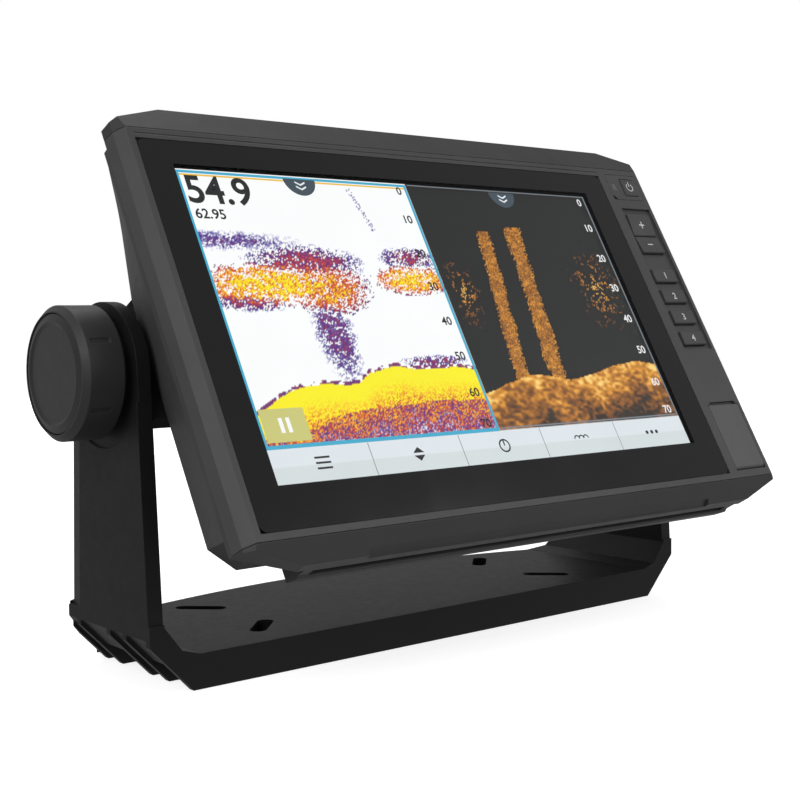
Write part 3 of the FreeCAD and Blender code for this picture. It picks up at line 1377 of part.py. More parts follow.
def rear_housing(shop):
    """The hollow rear case: a straight rim, a tapered part, and a block that the cradle holds."""
    body = shop.body("rear_housing")
    rim, waist, block, rear = housing_outlines("0")
    front = "seam_y + gasket_thick"
    square = octagon("gasket_outer", "face_low + 0.3", "face_high - 0.3", "0.6")
    shop.add(body, "XZ_Plane", [square], front, "rim_back_y")
    shop.loft(body, "XZ_Plane", rim, "rim_back_y", waist, "waist_y")
    shop.loft(body, "XZ_Plane", block, "waist_y", rear, "block_back_y")
    rim, waist, block, rear = housing_outlines("housing_wall")
    shop.cut(body, "XZ_Plane", [rim], f"{front} - 1", "rim_back_y")
    throat, floor = "waist_y - housing_wall", "block_back_y - housing_wall"
    shop.loft(body, "XZ_Plane", rim, "rim_back_y", waist, throat, hollow=True)
    shop.loft(body, "XZ_Plane", block, throat, rear, floor, hollow=True)
    housing_bosses(shop, body)
    housing_openings(shop, body)
    return body


def board_edges():
    """Half width, bottom and top of the main board, which follows the rear block."""
    return "block_half - board_margin", "block_low + board_rise", "block_high - board_margin"


def board_posts(radius):
    """Circles at the four board posts, near the board's corners."""
    half, low, high = board_edges()
    return [(f"{side} * ({half} - post_side)", height, radius)
            for side in (-1, 1) for height in (f"{low} + post_rise", f"{high} - post_drop")]


def housing_bosses(shop, body):
    """Long bosses for the case screws, posts for the main board, and the antenna shelf."""
    tubes = [(x, z, "case_boss") for x, z in case_screw_spots()]
    shop.add(body, "XZ_Plane", tubes, "seam_y + gasket_thick", "waist_y - 1")
    posts = board_posts("post_radius")
    shop.add(body, "XZ_Plane", posts, "board_y + board_thick", "block_back_y - 1")
    bar = box("-bar_half", "bar_half", "block_low", "bead_z + bead_radius + 3")
    shop.add(body, "XZ_Plane", [bar], "waist_y - 1", "bead_y + bead_radius + 3")
    shelf = box("-antenna_shelf_half", "antenna_shelf_half", "shelf_z", "shelf_z + shelf_thick")
    shop.add(body, "XZ_Plane", [shelf], "antenna_front", "waist_y - 1")


def housing_openings(shop, body):
    """Screw bores and head wells, socket holes, the bead groove and the latch notch."""
    bores = [(x, z, "case_screw_radius + 0.1") for x, z in case_screw_spots()]
    shop.cut(body, "XZ_Plane", bores, "seam_y", "waist_y + 1")
    wells = [(x, z, "case_screw_head + 0.2") for x, z in case_screw_spots()]
    shop.cut(body, "XZ_Plane", wells, "waist_y - case_head_deep", "waist_y + 1")
    posts = board_posts("board_screw_radius")
    shop.cut(body, "XZ_Plane", posts, "board_y", "board_y + board_thick + board_screw_deep + 0.5")
    sockets = [(f"{step} * socket_pitch", "socket_z", "socket_radius") for step in (-1, 0, 1)]
    shop.cut(body, "XZ_Plane", sockets, "block_back_y - housing_wall - 1", "block_back_y + 1")
    gap = "bead_gap"
    groove = [("bead_y", "bead_z", f"bead_radius + {gap}")]
    shop.cut(body, "YZ_Plane", groove, "-(bead_half + 0.5)", "bead_half + 0.5")
    mouth = [
        ("bead_y - bead_radius - 0.9", "block_low - 1"),
        ("bead_y + bead_radius + 0.9", "block_low - 1"),
        ("bead_y + bead_neck + 0.5", "bead_z"),
        ("bead_y - bead_neck - 0.5", "bead_z"),
    ]
    shop.cut(body, "YZ_Plane", [mouth], "-(bead_half + 0.5)", "bead_half + 0.5")
    tip = "block_high - tooth_deep - tooth_gap"
    notch = [
        ("tooth_front - tooth_gap", "block_high + 1"),
        ("tooth_front - tooth_gap", tip),
        ("tooth_rear - tooth_deep", tip),
        ("tooth_rear + tooth_gap + 1", "block_high + 1"),
    ]
    shop.cut(body, "YZ_Plane", [notch], "-(lever_half + tooth_gap)", "lever_half + tooth_gap")


def case_screws(shop):
    """The eight screws from the rear housing into the bezel."""
    solids = []
    for x, z in case_screw_spots():
        place = shop.vector(x, "waist_y - case_head_deep", z)
        length = shop.size("waist_y - case_head_deep - case_screw_tip")
        solids.append(screw(shop, place, shop.size("case_screw_radius"),
                            shop.size("case_screw_head"), length, shop.size("case_head_deep")))
    return shop.compound("case_screws", solids)


def main_board(shop):
    """The main circuit board with its four screw holes."""
    body = shop.body("main_board")
    outline = octagon(*board_edges(), "board_corner")
    holes = board_posts("board_screw_radius + 0.2")
    shop.add(body, "XZ_Plane", [outline, *holes], "board_y", "board_y + board_thick")
    return body


def board_screws(shop):
    """The four screws that hold the main board to its posts, put in from the front."""
    solids = []
    for across, height, radius in board_posts("board_screw_radius"):
        place = shop.vector(across, "board_y", height)
        back = FreeCAD.Vector(0, 1, 0)
        length = shop.size("board_thick + board_screw_deep")
        shank = Part.makeCylinder(shop.size(radius), length, place, back)
        head = Part.makeCylinder(shop.size("board_screw_head"),
                                 shop.size("board_head_tall"), place, back * -1)
        solids.append(shank.fuse(head).removeSplitter())
    return shop.compound("board_screws", solids)


def shield_can(shop):
    """The pressed metal can over the radio and sonar circuits."""
    body = shop.body("shield_can")
    front, back = "board_y - can_tall", "board_y"
    shop.add(body, "XZ_Plane", [box("can_left", "can_right", "can_low", "can_high")], front, back)
    inside = box("can_left + can_wall", "can_right - can_wall",
                 "can_low + can_wall", "can_high - can_wall")
    shop.cut(body, "XZ_Plane", [inside], f"{front} + can_wall", f"{back} + 1")
    return body


def heat_spreader(shop):
    """The aluminium plate in front of the main board, standing on four legs."""
    body = shop.body("heat_spreader")
    outline = box("-spreader_half", "spreader_half", "spreader_low", "spreader_high")
    back = "spreader_y + spreader_thick"
    shop.add(body, "XZ_Plane", [outline], "spreader_y", back)
    legs = [(f"{side} * (spreader_leg + 4)", height, "spreader_leg_radius")
            for side in (-1, 1) for height in ("spreader_low + 4", "spreader_high - 4")]
    shop.add(body, "XZ_Plane", legs, f"{back} - 1", "board_y")
    return body


def antenna(shop):
    """The ceramic position antenna on its shelf under the top of the case."""
    body = shop.body("position_antenna")
    outline = box("-antenna_half", "antenna_half", "shelf_z + shelf_thick",
                  "shelf_z + shelf_thick + antenna_thick")
    shop.add(body, "XZ_Plane", [outline], "antenna_front", "antenna_back")
    return body


def socket(shop, label, step):
    """A round plug socket: a collar on the board and a tube through the back of the case."""
    body = shop.body(label)
    middle = f"{step} * socket_pitch"
    collar = (middle, "socket_z", "socket_collar")
    shop.add(body, "XZ_Plane", [collar], "board_y + board_thick", "block_back_y - housing_wall")
    tube = (middle, "socket_z", "socket_radius")
    shop.add(body, "XZ_Plane", [tube], "block_back_y - housing_wall - 1", "socket_end")
    bore = (middle, "socket_z", "socket_radius - socket_wall")
    shop.cut(body, "XZ_Plane", [bore], "socket_floor", "socket_end + 1")
    pins = [(x, z, "contact_radius") for x, z in contact_spots(step)]
    shop.cut(body, "XZ_Plane", pins, "socket_floor - contact_tail", "socket_floor + 1")
    return body


def contact_spots(step):
    """The ring of contacts in one socket."""
    spots = []
    for number in range(4):
        angle = math.pi / 4 + number * math.pi / 2
        spots.append((f"{step} * socket_pitch + contact_ring * {math.cos(angle):.6f}",
                      f"socket_z + contact_ring * {math.sin(angle):.6f}"))
    return spots


def socket_contacts(shop):
    """The brass contact pins of the three sockets."""
    solids = []
    length = shop.size("contact_end - socket_floor + contact_tail")
    for step in (-1, 0, 1):
        for x, z in contact_spots(step):
            start = shop.vector(x, "socket_floor - contact_tail", z)
            solids.append(Part.makeCylinder(shop.size("contact_radius"), length, start,
                                            FreeCAD.Vector(0, 1, 0)))
    return shop.compound("socket_contacts", solids)


# the whole part

def build(shop):
    """Every sub-part, from the bracket to the innermost board."""
    bail_bracket(shop)
    for name, side in (("left", -1), ("right", 1)):
        knob(shop, name, side)
        knob_cap(shop, name, side)
        knob_stud(shop, name, side)
        knob_washer(shop, name, side)
    cradle_frame(shop)
    ear_inserts(shop)
    pivot_pads(shop)
    release_lever(shop)
    lever_pin(shop)
    lever_spring(shop)
    connector_lock(shop)
    lock_screws(shop)
    front_bezel(shop)
    top_trim(shop)
    bottom_trim(shop)
    cover_glass(shop)
    display_stack(shop)
    keys(shop)
    power_panel(shop)
    light_sensor_window(shop)
    key_mat(shop)
    key_board(shop)
    card_door(shop)
    card_door_pin(shop)
    card_door_seal(shop)
    card_reader(shop)
    gasket(shop)
    rear_housing(shop)
    case_screws(shop)
    main_board(shop)
    board_screws(shop)
    shield_can(shop)
    heat_spreader(shop)
    antenna(shop)
    for label, step in (("power_socket", -1), ("transducer_socket", 0), ("network_socket", 1)):
        socket(shop, label, step)
    socket_contacts(shop)


def check(doc, pieces):
    """Stops if any object failed or any sub-part isn't a valid solid."""
    for item in doc.Objects:
        if "Invalid" in item.State or "Error" in item.State:
            raise RuntimeError(f"{item.Label} is {item.State}")
    for piece in pieces:
        shape = piece.Shape
        if shape.isNull() or not shape.isValid() or not shape.Solids:
            raise RuntimeError(f"{piece.Label} isn't a valid solid")


def main():
    doc = FreeCAD.newDocument("FishFinder")
    shop = Workshop(doc, make_sheet(doc))
    build(shop)
    doc.recompute()
    check(doc, shop.pieces)
    os.makedirs("parts", exist_ok=True)
    for piece in shop.pieces:
        piece.Shape.exportStep(os.path.join("parts", f"{piece.Label}.step"))
        count = len(piece.Shape.Solids)
        print(f"{piece.Label}: {count} solid(s), {piece.Shape.Volume:.1f} cubic mm")


main()
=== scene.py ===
import bpy
import json
import math
import numpy as np
from mathutils import Matrix, Vector


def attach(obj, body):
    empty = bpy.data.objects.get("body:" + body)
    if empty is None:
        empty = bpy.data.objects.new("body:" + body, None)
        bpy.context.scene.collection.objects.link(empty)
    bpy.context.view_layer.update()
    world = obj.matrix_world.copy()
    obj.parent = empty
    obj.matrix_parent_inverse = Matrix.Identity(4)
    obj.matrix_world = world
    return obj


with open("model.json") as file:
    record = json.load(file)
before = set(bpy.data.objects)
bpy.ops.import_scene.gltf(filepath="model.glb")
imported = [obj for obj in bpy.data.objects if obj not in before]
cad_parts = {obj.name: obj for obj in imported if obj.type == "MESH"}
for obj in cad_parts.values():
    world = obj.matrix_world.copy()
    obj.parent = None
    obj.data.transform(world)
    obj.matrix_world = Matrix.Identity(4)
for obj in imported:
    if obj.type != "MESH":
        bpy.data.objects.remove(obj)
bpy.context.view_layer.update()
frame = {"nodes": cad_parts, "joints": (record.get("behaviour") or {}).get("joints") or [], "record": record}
record = frame["record"]
nodes = frame["nodes"]
print("frame loaded:", len(nodes), "nodes")

mm = 0.001
joints = {joint["name"]: joint for joint in frame["joints"]}
pivot = np.array(joints["cradle_tilt"]["pos_m"])         # the tilt axis, origin of the leaning frame
backward = np.array(joints["power_key_press"]["axis"])   # leaning +Y, the way a key is pressed
sideways = np.array((1.0, 0.0, 0.0))
upward = np.cross(sideways, backward)                    # leaning +Z, up along the screen
leaning = np.array((sideways, backward, upward))
lean = math.atan2(backward[2], backward[1])              # turn of the leaning frame about X


def localPoints(name):
    # Points of a CAD node in the leaning frame, in millimetres.
    mesh = nodes[name].data
    points = np.empty(len(mesh.vertices) * 3)
    mesh.vertices.foreach_get("co", points)
    return (points.reshape(-1, 3) - pivot) @ leaning.T / mm


def corners(local):
    return local.min(axis=0), local.max(axis=0)


def toFrame(points):
    # Leaning-frame millimetres to the row frame in metres.
    return pivot + np.asarray(points, float) * mm @ leaning


def linear(red, green, blue):
    # A screen colour of 0 to 255 as linear light.
    tones = np.array((red, green, blue)) / 255.0
    return np.where(tones <= 0.04045, tones / 12.92, ((tones + 0.055) / 1.055) ** 2.4)


def addNode(tree, kind, values=(), **settings):
    # A shader node with its settings and the values of its sockets.
    node = tree.nodes.new(kind)
    for key, value in settings.items():
        setattr(node, key, value)
    for key, value in values:
        node.inputs[key].default_value = value
    return node


def join(tree, source, target):
    tree.links.new(source, target)


def emptyMaterial(name):
    material = bpy.data.materials.new(name)
    material.use_nodes = True
    tree = material.node_tree
    tree.nodes.clear()
    out = addNode(tree, "ShaderNodeOutputMaterial")
    return material, tree, out


def spread(tree, source, low, high):
    # A value of 0 to 1 spread between two others.
    node = addNode(tree, "ShaderNodeMapRange", [("To Min", low), ("To Max", high)])
    join(tree, source, node.inputs["Value"])
    return node.outputs["Result"]


# Moulded plastics and rubbers: tone is linear light, grain and blotch are per metre.
plastics = {
    "bracket": {"tone": 0.0075, "rough": 0.50, "grain": 2600, "bump": 0.10, "blotch": 45, "shine": 0.22},
    "knob": {"tone": 0.024, "rough": 0.50, "grain": 2400, "bump": 0.12, "blotch": 60, "shine": 0.35},
    "bezel": {"tone": 0.050, "rough": 0.42, "grain": 3200, "bump": 0.06, "blotch": 30, "shine": 0.40},
    "trim": {"tone": 0.030, "rough": 0.46, "grain": 2800, "bump": 0.08, "blotch": 30, "shine": 0.35},
    "housing": {"tone": 0.050, "rough": 0.55, "grain": 1900, "bump": 0.14, "blotch": 40, "shine": 0.30},
    "keys": {"tone": 0.055, "rough": 0.48, "grain": 3600, "bump": 0.05, "blotch": 80, "shine": 0.35},
    "gloss": {"tone": 0.050, "rough": 0.36, "grain": 3200, "bump": 0.05, "blotch": 30, "shine": 0.45},
    "rubber": {"tone": 0.012, "rough": 0.75, "grain": 1500, "bump": 0.16, "blotch": 90, "shine": 0.25},
    "white": {"tone": 0.80, "rough": 0.55, "grain": 1800, "bump": 0.04, "blotch": 25, "shine": 0.40},
    "ceramic": {"tone": 0.45, "rough": 0.40, "grain": 2200, "bump": 0.10, "blotch": 140, "shine": 0.50},
}


def plastic(name, tone, rough, grain, bump, blotch, shine):
    # Fine moulded grain in the bump, cloudy tone and roughness, paler worn edges.
    material, tree, out = emptyMaterial(name)
    place = addNode(tree, "ShaderNodeTexCoord").outputs["Object"]
    fine = addNode(tree, "ShaderNodeTexNoise", [("Scale", grain), ("Detail", 3.0)])
    wide = addNode(tree, "ShaderNodeTexNoise", [("Scale", blotch), ("Detail", 4.0), ("Roughness", 0.6)])
    scuff = addNode(tree, "ShaderNodeTexNoise", [
        ("Scale", blotch * 6), ("Detail", 5.0), ("Distortion", 0.8)])
    for noise in (fine, wide, scuff):
        join(tree, place, noise.inputs["Vector"])
    soft = addNode(tree, "ShaderNodeBevel", [("Radius", 0.0004)], samples=4)
    ridge = addNode(tree, "ShaderNodeBump", [("Strength", bump), ("Distance", 0.0001)])
    join(tree, fine.outputs["Fac"], ridge.inputs["Height"])
    join(tree, soft.outputs["Normal"], ridge.inputs["Normal"])
    plain = addNode(tree, "ShaderNodeNewGeometry").outputs["Normal"]
    meet = addNode(tree, "ShaderNodeVectorMath", operation="DOT_PRODUCT")
    join(tree, plain, meet.inputs[0])
    join(tree, soft.outputs["Normal"], meet.inputs[1])
    worn = addNode(tree, "ShaderNodeMapRange", [("From Min", 0.995), ("From Max", 0.90)])
    join(tree, meet.outputs["Value"], worn.inputs["Value"])
    edge = addNode(tree, "ShaderNodeMath", operation="MULTIPLY")
    join(tree, worn.outputs["Result"], edge.inputs[0])
    join(tree, scuff.outputs["Fac"], edge.inputs[1])
    ramp = addNode(tree, "ShaderNodeValToRGB")
    ramp.color_ramp.elements[0].position, ramp.color_ramp.elements[1].position = 0.3, 0.7
    ramp.color_ramp.elements[0].color = (tone * 0.88, tone * 0.88, tone * 0.90, 1)
    ramp.color_ramp.elements[1].color = (tone * 1.10, tone * 1.10, tone * 1.12, 1)
    join(tree, wide.outputs["Fac"], ramp.inputs["Fac"])
    pale = min(tone * 1.8 + 0.012, 0.9)
    mix = addNode(tree, "ShaderNodeMix", data_type="RGBA")
    mix.inputs[7].default_value = (pale, pale, pale, 1)
    join(tree, edge.outputs["Value"], mix.inputs[0])
    join(tree, ramp.outputs["Color"], mix.inputs[6])
    skin = addNode(tree, "ShaderNodeBsdfPrincipled", [("Specular IOR Level", shine)])
    join(tree, mix.outputs[2], skin.inputs["Base Color"])
    join(tree, spread(tree, scuff.outputs["Fac"], rough - 0.07, rough + 0.08), skin.inputs["Roughness"])
    join(tree, ridge.outputs["Normal"], skin.inputs["Normal"])
    join(tree, skin.outputs["BSDF"], out.inputs["Surface"])
    return material


# Metals: brushed is how many times finer the scratches are across than along.
metals = {
    "steel": {"colour": (0.58, 0.58, 0.60), "rough": 0.28, "brushed": 14},
    "brass": {"colour": (0.76, 0.57, 0.27), "rough": 0.30, "brushed": 10},
    "contact": {"colour": (0.90, 0.68, 0.28), "rough": 0.20, "brushed": 4},
    "aluminium": {"colour": (0.74, 0.75, 0.77), "rough": 0.36, "brushed": 8},
}


def metal(name, colour, rough, brushed):
    # Metal with fine scratches along X, a faint tarnish and uneven polish.
    material, tree, out = emptyMaterial(name)
    place = addNode(tree, "ShaderNodeTexCoord").outputs["Object"]
    stretch = addNode(tree, "ShaderNodeMapping", [("Scale", (300, 300 * brushed, 300 * brushed))])
    join(tree, place, stretch.inputs["Vector"])
    lines = addNode(tree, "ShaderNodeTexNoise", [("Scale", 1.0), ("Detail", 4.0)])
    join(tree, stretch.outputs["Vector"], lines.inputs["Vector"])
    cloud = addNode(tree, "ShaderNodeTexNoise", [("Scale", 120.0), ("Detail", 3.0)])
    join(tree, place, cloud.inputs["Vector"])
    ramp = addNode(tree, "ShaderNodeValToRGB")
    ramp.color_ramp.elements[0].color = (*[part * 0.78 for part in colour], 1)
    ramp.color_ramp.elements[1].color = (*colour, 1)
    join(tree, cloud.outputs["Fac"], ramp.inputs["Fac"])
    ridge = addNode(tree, "ShaderNodeBump", [("Strength", 0.15), ("Distance", 0.0001)])
    join(tree, lines.outputs["Fac"], ridge.inputs["Height"])
    skin = addNode(tree, "ShaderNodeBsdfPrincipled", [("Metallic", 1.0)])
    join(tree, ramp.outputs["Color"], skin.inputs["Base Color"])
    join(tree, spread(tree, lines.outputs["Fac"], rough - 0.1, rough + 0.12), skin.inputs["Roughness"])
    join(tree, ridge.outputs["Normal"], skin.inputs["Normal"])
    join(tree, skin.outputs["BSDF"], out.inputs["Surface"])
    return material


def circuitBoard(name):
    # Green solder mask over a web of paler copper tracks.
    material, tree, out = emptyMaterial(name)
    place = addNode(tree, "ShaderNodeTexCoord").outputs["Object"]
    cells = addNode(tree, "ShaderNodeTexVoronoi", [("Scale", 260.0)], feature="DISTANCE_TO_EDGE")
    join(tree, place, cells.inputs["Vector"])
    ramp = addNode(tree, "ShaderNodeValToRGB")
    ramp.color_ramp.elements[0].position, ramp.color_ramp.elements[1].position = 0.06, 0.10
    ramp.color_ramp.elements[0].color = (0.06, 0.30, 0.12, 1)
    ramp.color_ramp.elements[1].color = (0.015, 0.11, 0.045, 1)
    join(tree, cells.outputs["Distance"], ramp.inputs["Fac"])
    ridge = addNode(tree, "ShaderNodeBump", [("Strength", 0.3), ("Distance", 0.0001)], invert=True)
    join(tree, cells.outputs["Distance"], ridge.inputs["Height"])
    skin = addNode(tree, "ShaderNodeBsdfPrincipled", [("Roughness", 0.35)])
    join(tree, ramp.outputs["Color"], skin.inputs["Base Color"])
    join(tree, ridge.outputs["Normal"], skin.inputs["Normal"])
    join(tree, skin.outputs["BSDF"], out.inputs["Surface"])
    return material


# The display: size of the lit area and its place on the panel.
display = {
    "wide": 197.2, "tall": 115.6,   # mm
    "margin": 0.8,                  # clear glass beyond the lit area
    "lift": 0.05,                   # mm in front of the panel
    "layer": 0.03,                  # mm between the drawn layers
    "print": 0.6,                   # thickness of what is drawn, as a share of a layer
}
panelLow, panelHigh = corners(localPoints("display_panel"))
screenX = (panelLow[0] + panelHigh[0]) / 2
screenZ = (panelLow[2] + panelHigh[2]) / 2
panelFront = panelLow[1]


def coverGlass(name):
    # Clear over the lit area, gloss black print all round it, faint smears in the polish.
    material, tree, out = emptyMaterial(name)
    place = addNode(tree, "ShaderNodeTexCoord").outputs["Object"]
    smear = addNode(tree, "ShaderNodeTexNoise", [("Scale", 28.0), ("Detail", 4.0), ("Distortion", 1.5)])
    join(tree, place, smear.inputs["Vector"])
    shift = -(leaning @ pivot)
    local = addNode(tree, "ShaderNodeMapping", [("Location", tuple(shift)), ("Rotation", (-lean, 0, 0))])
    join(tree, place, local.inputs["Vector"])
    split = addNode(tree, "ShaderNodeSeparateXYZ")
    join(tree, local.outputs["Vector"], split.inputs["Vector"])
    inside = []
    for axis, middle, half in (("X", screenX, display["wide"] / 2), ("Z", screenZ, display["tall"] / 2)):
        away = addNode(tree, "ShaderNodeMath", operation="SUBTRACT")
        away.inputs[1].default_value = middle * mm
        join(tree, split.outputs[axis], away.inputs[0])
        size = addNode(tree, "ShaderNodeMath", operation="ABSOLUTE")
        join(tree, away.outputs["Value"], size.inputs[0])
        near = addNode(tree, "ShaderNodeMath", operation="LESS_THAN")
        near.inputs[1].default_value = (half + display["margin"]) * mm
        join(tree, size.outputs["Value"], near.inputs[0])
        inside.append(near.outputs["Value"])
    window = addNode(tree, "ShaderNodeMath", operation="MULTIPLY")
    join(tree, inside[0], window.inputs[0])
    join(tree, inside[1], window.inputs[1])
    through = addNode(tree, "ShaderNodeBsdfTransparent", [("Color", (0.97, 0.98, 0.98, 1))])
    gleam = addNode(tree, "ShaderNodeBsdfGlossy")
    join(tree, spread(tree, smear.outputs["Fac"], 0.03, 0.10), gleam.inputs["Roughness"])
    share = addNode(tree, "ShaderNodeFresnel", [("IOR", 1.18)])
    behind = addNode(tree, "ShaderNodeNewGeometry").outputs["Backfacing"]
    outer = addNode(tree, "ShaderNodeMapRange", [("To Min", 1.0), ("To Max", 0.0)])
    join(tree, behind, outer.inputs["Value"])
    once = addNode(tree, "ShaderNodeMath", operation="MULTIPLY")
    join(tree, share.outputs["Fac"], once.inputs[0])
    join(tree, outer.outputs["Result"], once.inputs[1])
    pane = addNode(tree, "ShaderNodeMixShader")
    join(tree, once.outputs["Value"], pane.inputs[0])
    join(tree, through.outputs["BSDF"], pane.inputs[1])
    join(tree, gleam.outputs["BSDF"], pane.inputs[2])
    printed = addNode(tree, "ShaderNodeBsdfPrincipled", [
        ("Base Color", (0.006, 0.006, 0.007, 1)), ("Specular IOR Level", 0.35)])
    join(tree, spread(tree, smear.outputs["Fac"], 0.10, 0.22), printed.inputs["Roughness"])
    whole = addNode(tree, "ShaderNodeMixShader")
    join(tree, window.outputs["Value"], whole.inputs[0])
    join(tree, printed.outputs["BSDF"], whole.inputs[1])
    join(tree, pane.outputs["Shader"], whole.inputs[2])
    join(tree, whole.outputs["Shader"], out.inputs["Surface"])
    return material


def lightGuide(name):
    # Smoky clear plastic with a slightly uneven polish.
    material, tree, out = emptyMaterial(name)
    place = addNode(tree, "ShaderNodeTexCoord").outputs["Object"]
    haze = addNode(tree, "ShaderNodeTexNoise", [("Scale", 900.0), ("Detail", 2.0)])
    join(tree, place, haze.inputs["Vector"])
    ramp = addNode(tree, "ShaderNodeValToRGB")
    ramp.color_ramp.elements[0].color = (0.10, 0.10, 0.11, 1)
    ramp.color_ramp.elements[1].color = (0.20, 0.20, 0.22, 1)
    join(tree, haze.outputs["Fac"], ramp.inputs["Fac"])
    skin = addNode(tree, "ShaderNodeBsdfPrincipled", [("Transmission Weight", 0.3)])
    join(tree, ramp.outputs["Color"], skin.inputs["Base Color"])
    join(tree, spread(tree, haze.outputs["Fac"], 0.10, 0.25), skin.inputs["Roughness"])
    join(tree, skin.outputs["BSDF"], out.inputs["Surface"])
    return material


def panelSkin(name):
    # The dark polariser of the panel, with its faint grid of cells.
    material, tree, out = emptyMaterial(name)
    place = addNode(tree, "ShaderNodeTexCoord").outputs["Object"]
    grid = addNode(tree, "ShaderNodeTexNoise", [("Scale", 4000.0), ("Detail", 1.0)])
    join(tree, place, grid.inputs["Vector"])
    skin = addNode(tree, "ShaderNodeBsdfPrincipled", [("Base Color", (0.008, 0.008, 0.010, 1))])
    join(tree, spread(tree, grid.outputs["Fac"], 0.18, 0.32), skin.inputs["Roughness"])
    join(tree, skin.outputs["BSDF"], out.inputs["Surface"])
    return material


finishes = {name: plastic(name, **values) for name, values in plastics.items()}
finishes.update({name: metal(name, **values) for name, values in metals.items()})
finishes["board"] = circuitBoard("board")
finishes["glass"] = coverGlass("glass")
finishes["clear"] = lightGuide("clear")
finishes["display"] = panelSkin("display")
print("finishes made:", len(finishes))

# Pieces whose tone differs from their slot's own: name, slot copied, changes.
special = {
    "cradleSkin": ("bracket", {"tone": 0.010}, ["cradle_frame", "connector_lock", "release_lever"]),
    "capSkin": ("knob", {"tone": 0.014, "rough": 0.38, "shine": 0.45}, ["left_knob_cap", "right_knob_cap"]),
    "doorSkin": ("bezel", {"tone": 0.080}, ["card_door"]),
}
slots = {part["node"]: part["material_slot"] for part in record["subparts"]}
for name, obj in nodes.items():
    for place in obj.material_slots:
        place.material = finishes[slots[name]]
for name, (source, changes, members) in special.items():
    finish = plastic(name, **{**plastics[source], **changes})
    for member in members:
        for place in nodes[member].material_slots:
            place.material = finish
print("CAD nodes finished")


def addPiece(name, points, faces, body, material):
    # A new piece from points in the row frame, riding on a CAD body.
    mesh = bpy.data.meshes.new(name)
    mesh.from_pydata(np.asarray(points).tolist(), [], faces)
    mesh.update()
    mesh.materials.append(material)
    obj = bpy.data.objects.new(name, mesh)
    bpy.context.scene.collection.objects.link(obj)
    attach(obj, body)
    return obj


def glow(name, colour):
    # A lit tone with the faint unevenness of a backlight.
    material, tree, out = emptyMaterial(name)
    place = addNode(tree, "ShaderNodeTexCoord").outputs["Object"]
    uneven = addNode(tree, "ShaderNodeTexNoise", [("Scale", 40.0), ("Detail", 2.0)])
    join(tree, place, uneven.inputs["Vector"])
    skin = addNode(tree, "ShaderNodeBsdfPrincipled", [
        ("Base Color", (0.01, 0.01, 0.01, 1)), ("Roughness", 0.4), ("Emission Color", (*colour, 1))])
    join(tree, spread(tree, uneven.outputs["Fac"], 0.97, 1.03), skin.inputs["Emission Strength"])
    join(tree, skin.outputs["BSDF"], out.inputs["Surface"])
    return material


def paintedGlow(name):
    # Light from the piece's own colour attribute.
    material, tree, out = emptyMaterial(name)
    paint = addNode(tree, "ShaderNodeAttribute", attribute_name="paint")
    place = addNode(tree, "ShaderNodeTexCoord").outputs["Object"]
    uneven = addNode(tree, "ShaderNodeTexNoise", [("Scale", 40.0), ("Detail", 2.0)])
    join(tree, place, uneven.inputs["Vector"])
    skin = addNode(tree, "ShaderNodeBsdfPrincipled", [
        ("Base Color", (0.01, 0.01, 0.01, 1)), ("Roughness", 0.4)])
    join(tree, paint.outputs["Color"], skin.inputs["Emission Color"])
    join(tree, spread(tree, uneven.outputs["Fac"], 0.97, 1.03), skin.inputs["Emission Strength"])
    join(tree, skin.outputs["BSDF"], out.inputs["Surface"])
    return material


# The echo picture: a grid of coloured points over the lit area, in fractions across and down.
echo = {
    "columns": 400, "rows": 236,
    "thick": 0.02,                  # mm
    "divider": 0.505,               # between the two panes
    "barTop": 0.898, "barStep": 0.952,
    "seed": 11,
    "leftBed": [(0.0, 0.80), (0.056, 0.747), (0.083, 0.729), (0.119, 0.713), (0.161, 0.709), (0.20, 0.717),
                (0.229, 0.714), (0.258, 0.683), (0.29, 0.669), (0.328, 0.665), (0.363, 0.679),
                (0.398, 0.675), (0.458, 0.673), (0.505, 0.689)],
    "leftDeep": [(0.0, 0.87), (0.10, 0.848), (0.165, 0.808), (0.238, 0.795), (0.312, 0.791), (0.39, 0.781),
                 (0.505, 0.79)],
    "rightBed": [(0.505, 0.771), (0.568, 0.739), (0.63, 0.712), (0.676, 0.715), (0.736, 0.738),
                 (0.80, 0.723), (0.871, 0.694), (0.939, 0.68), (1.0, 0.694)],
    "posts": [(0.660, 0.610, 0.17, 0.74, 0.017), (0.745, 0.705, 0.15, 0.73, 0.021)],
    # middle across and down, reach across and down, power
    "schools": [(0.12, 0.385, 0.17, 0.075, 1.15), (0.23, 0.395, 0.10, 0.095, 0.95),
                (0.20, 0.31, 0.13, 0.065, 0.62), (0.433, 0.365, 0.095, 0.055, 1.15),
                (0.44, 0.285, 0.07, 0.04, 0.60), (0.05, 0.24, 0.16, 0.035, 0.42),
                (0.215, 0.55, 0.045, 0.17, 0.50), (0.41, 0.65, 0.08, 0.020, 0.55),
                (0.07, 0.44, 0.09, 0.035, 0.6)],
}


def clouds(rng, rows, columns, shape):
    # Random values on a coarse grid, spread evenly between its points.
    coarse = rng.random((rows, columns))
    across = np.linspace(0, columns - 1, shape[1])
    down = np.linspace(0, rows - 1, shape[0])
    left, top = np.minimum(across.astype(int), columns - 2), np.minimum(down.astype(int), rows - 2)
    acrossPart, downPart = across - left, (down - top)[:, None]
    upper = coarse[top][:, left] * (1 - acrossPart) + coarse[top][:, left + 1] * acrossPart
    lower = coarse[top + 1][:, left] * (1 - acrossPart) + coarse[top + 1][:, left + 1] * acrossPart
    return upper * (1 - downPart) + lower * downPart


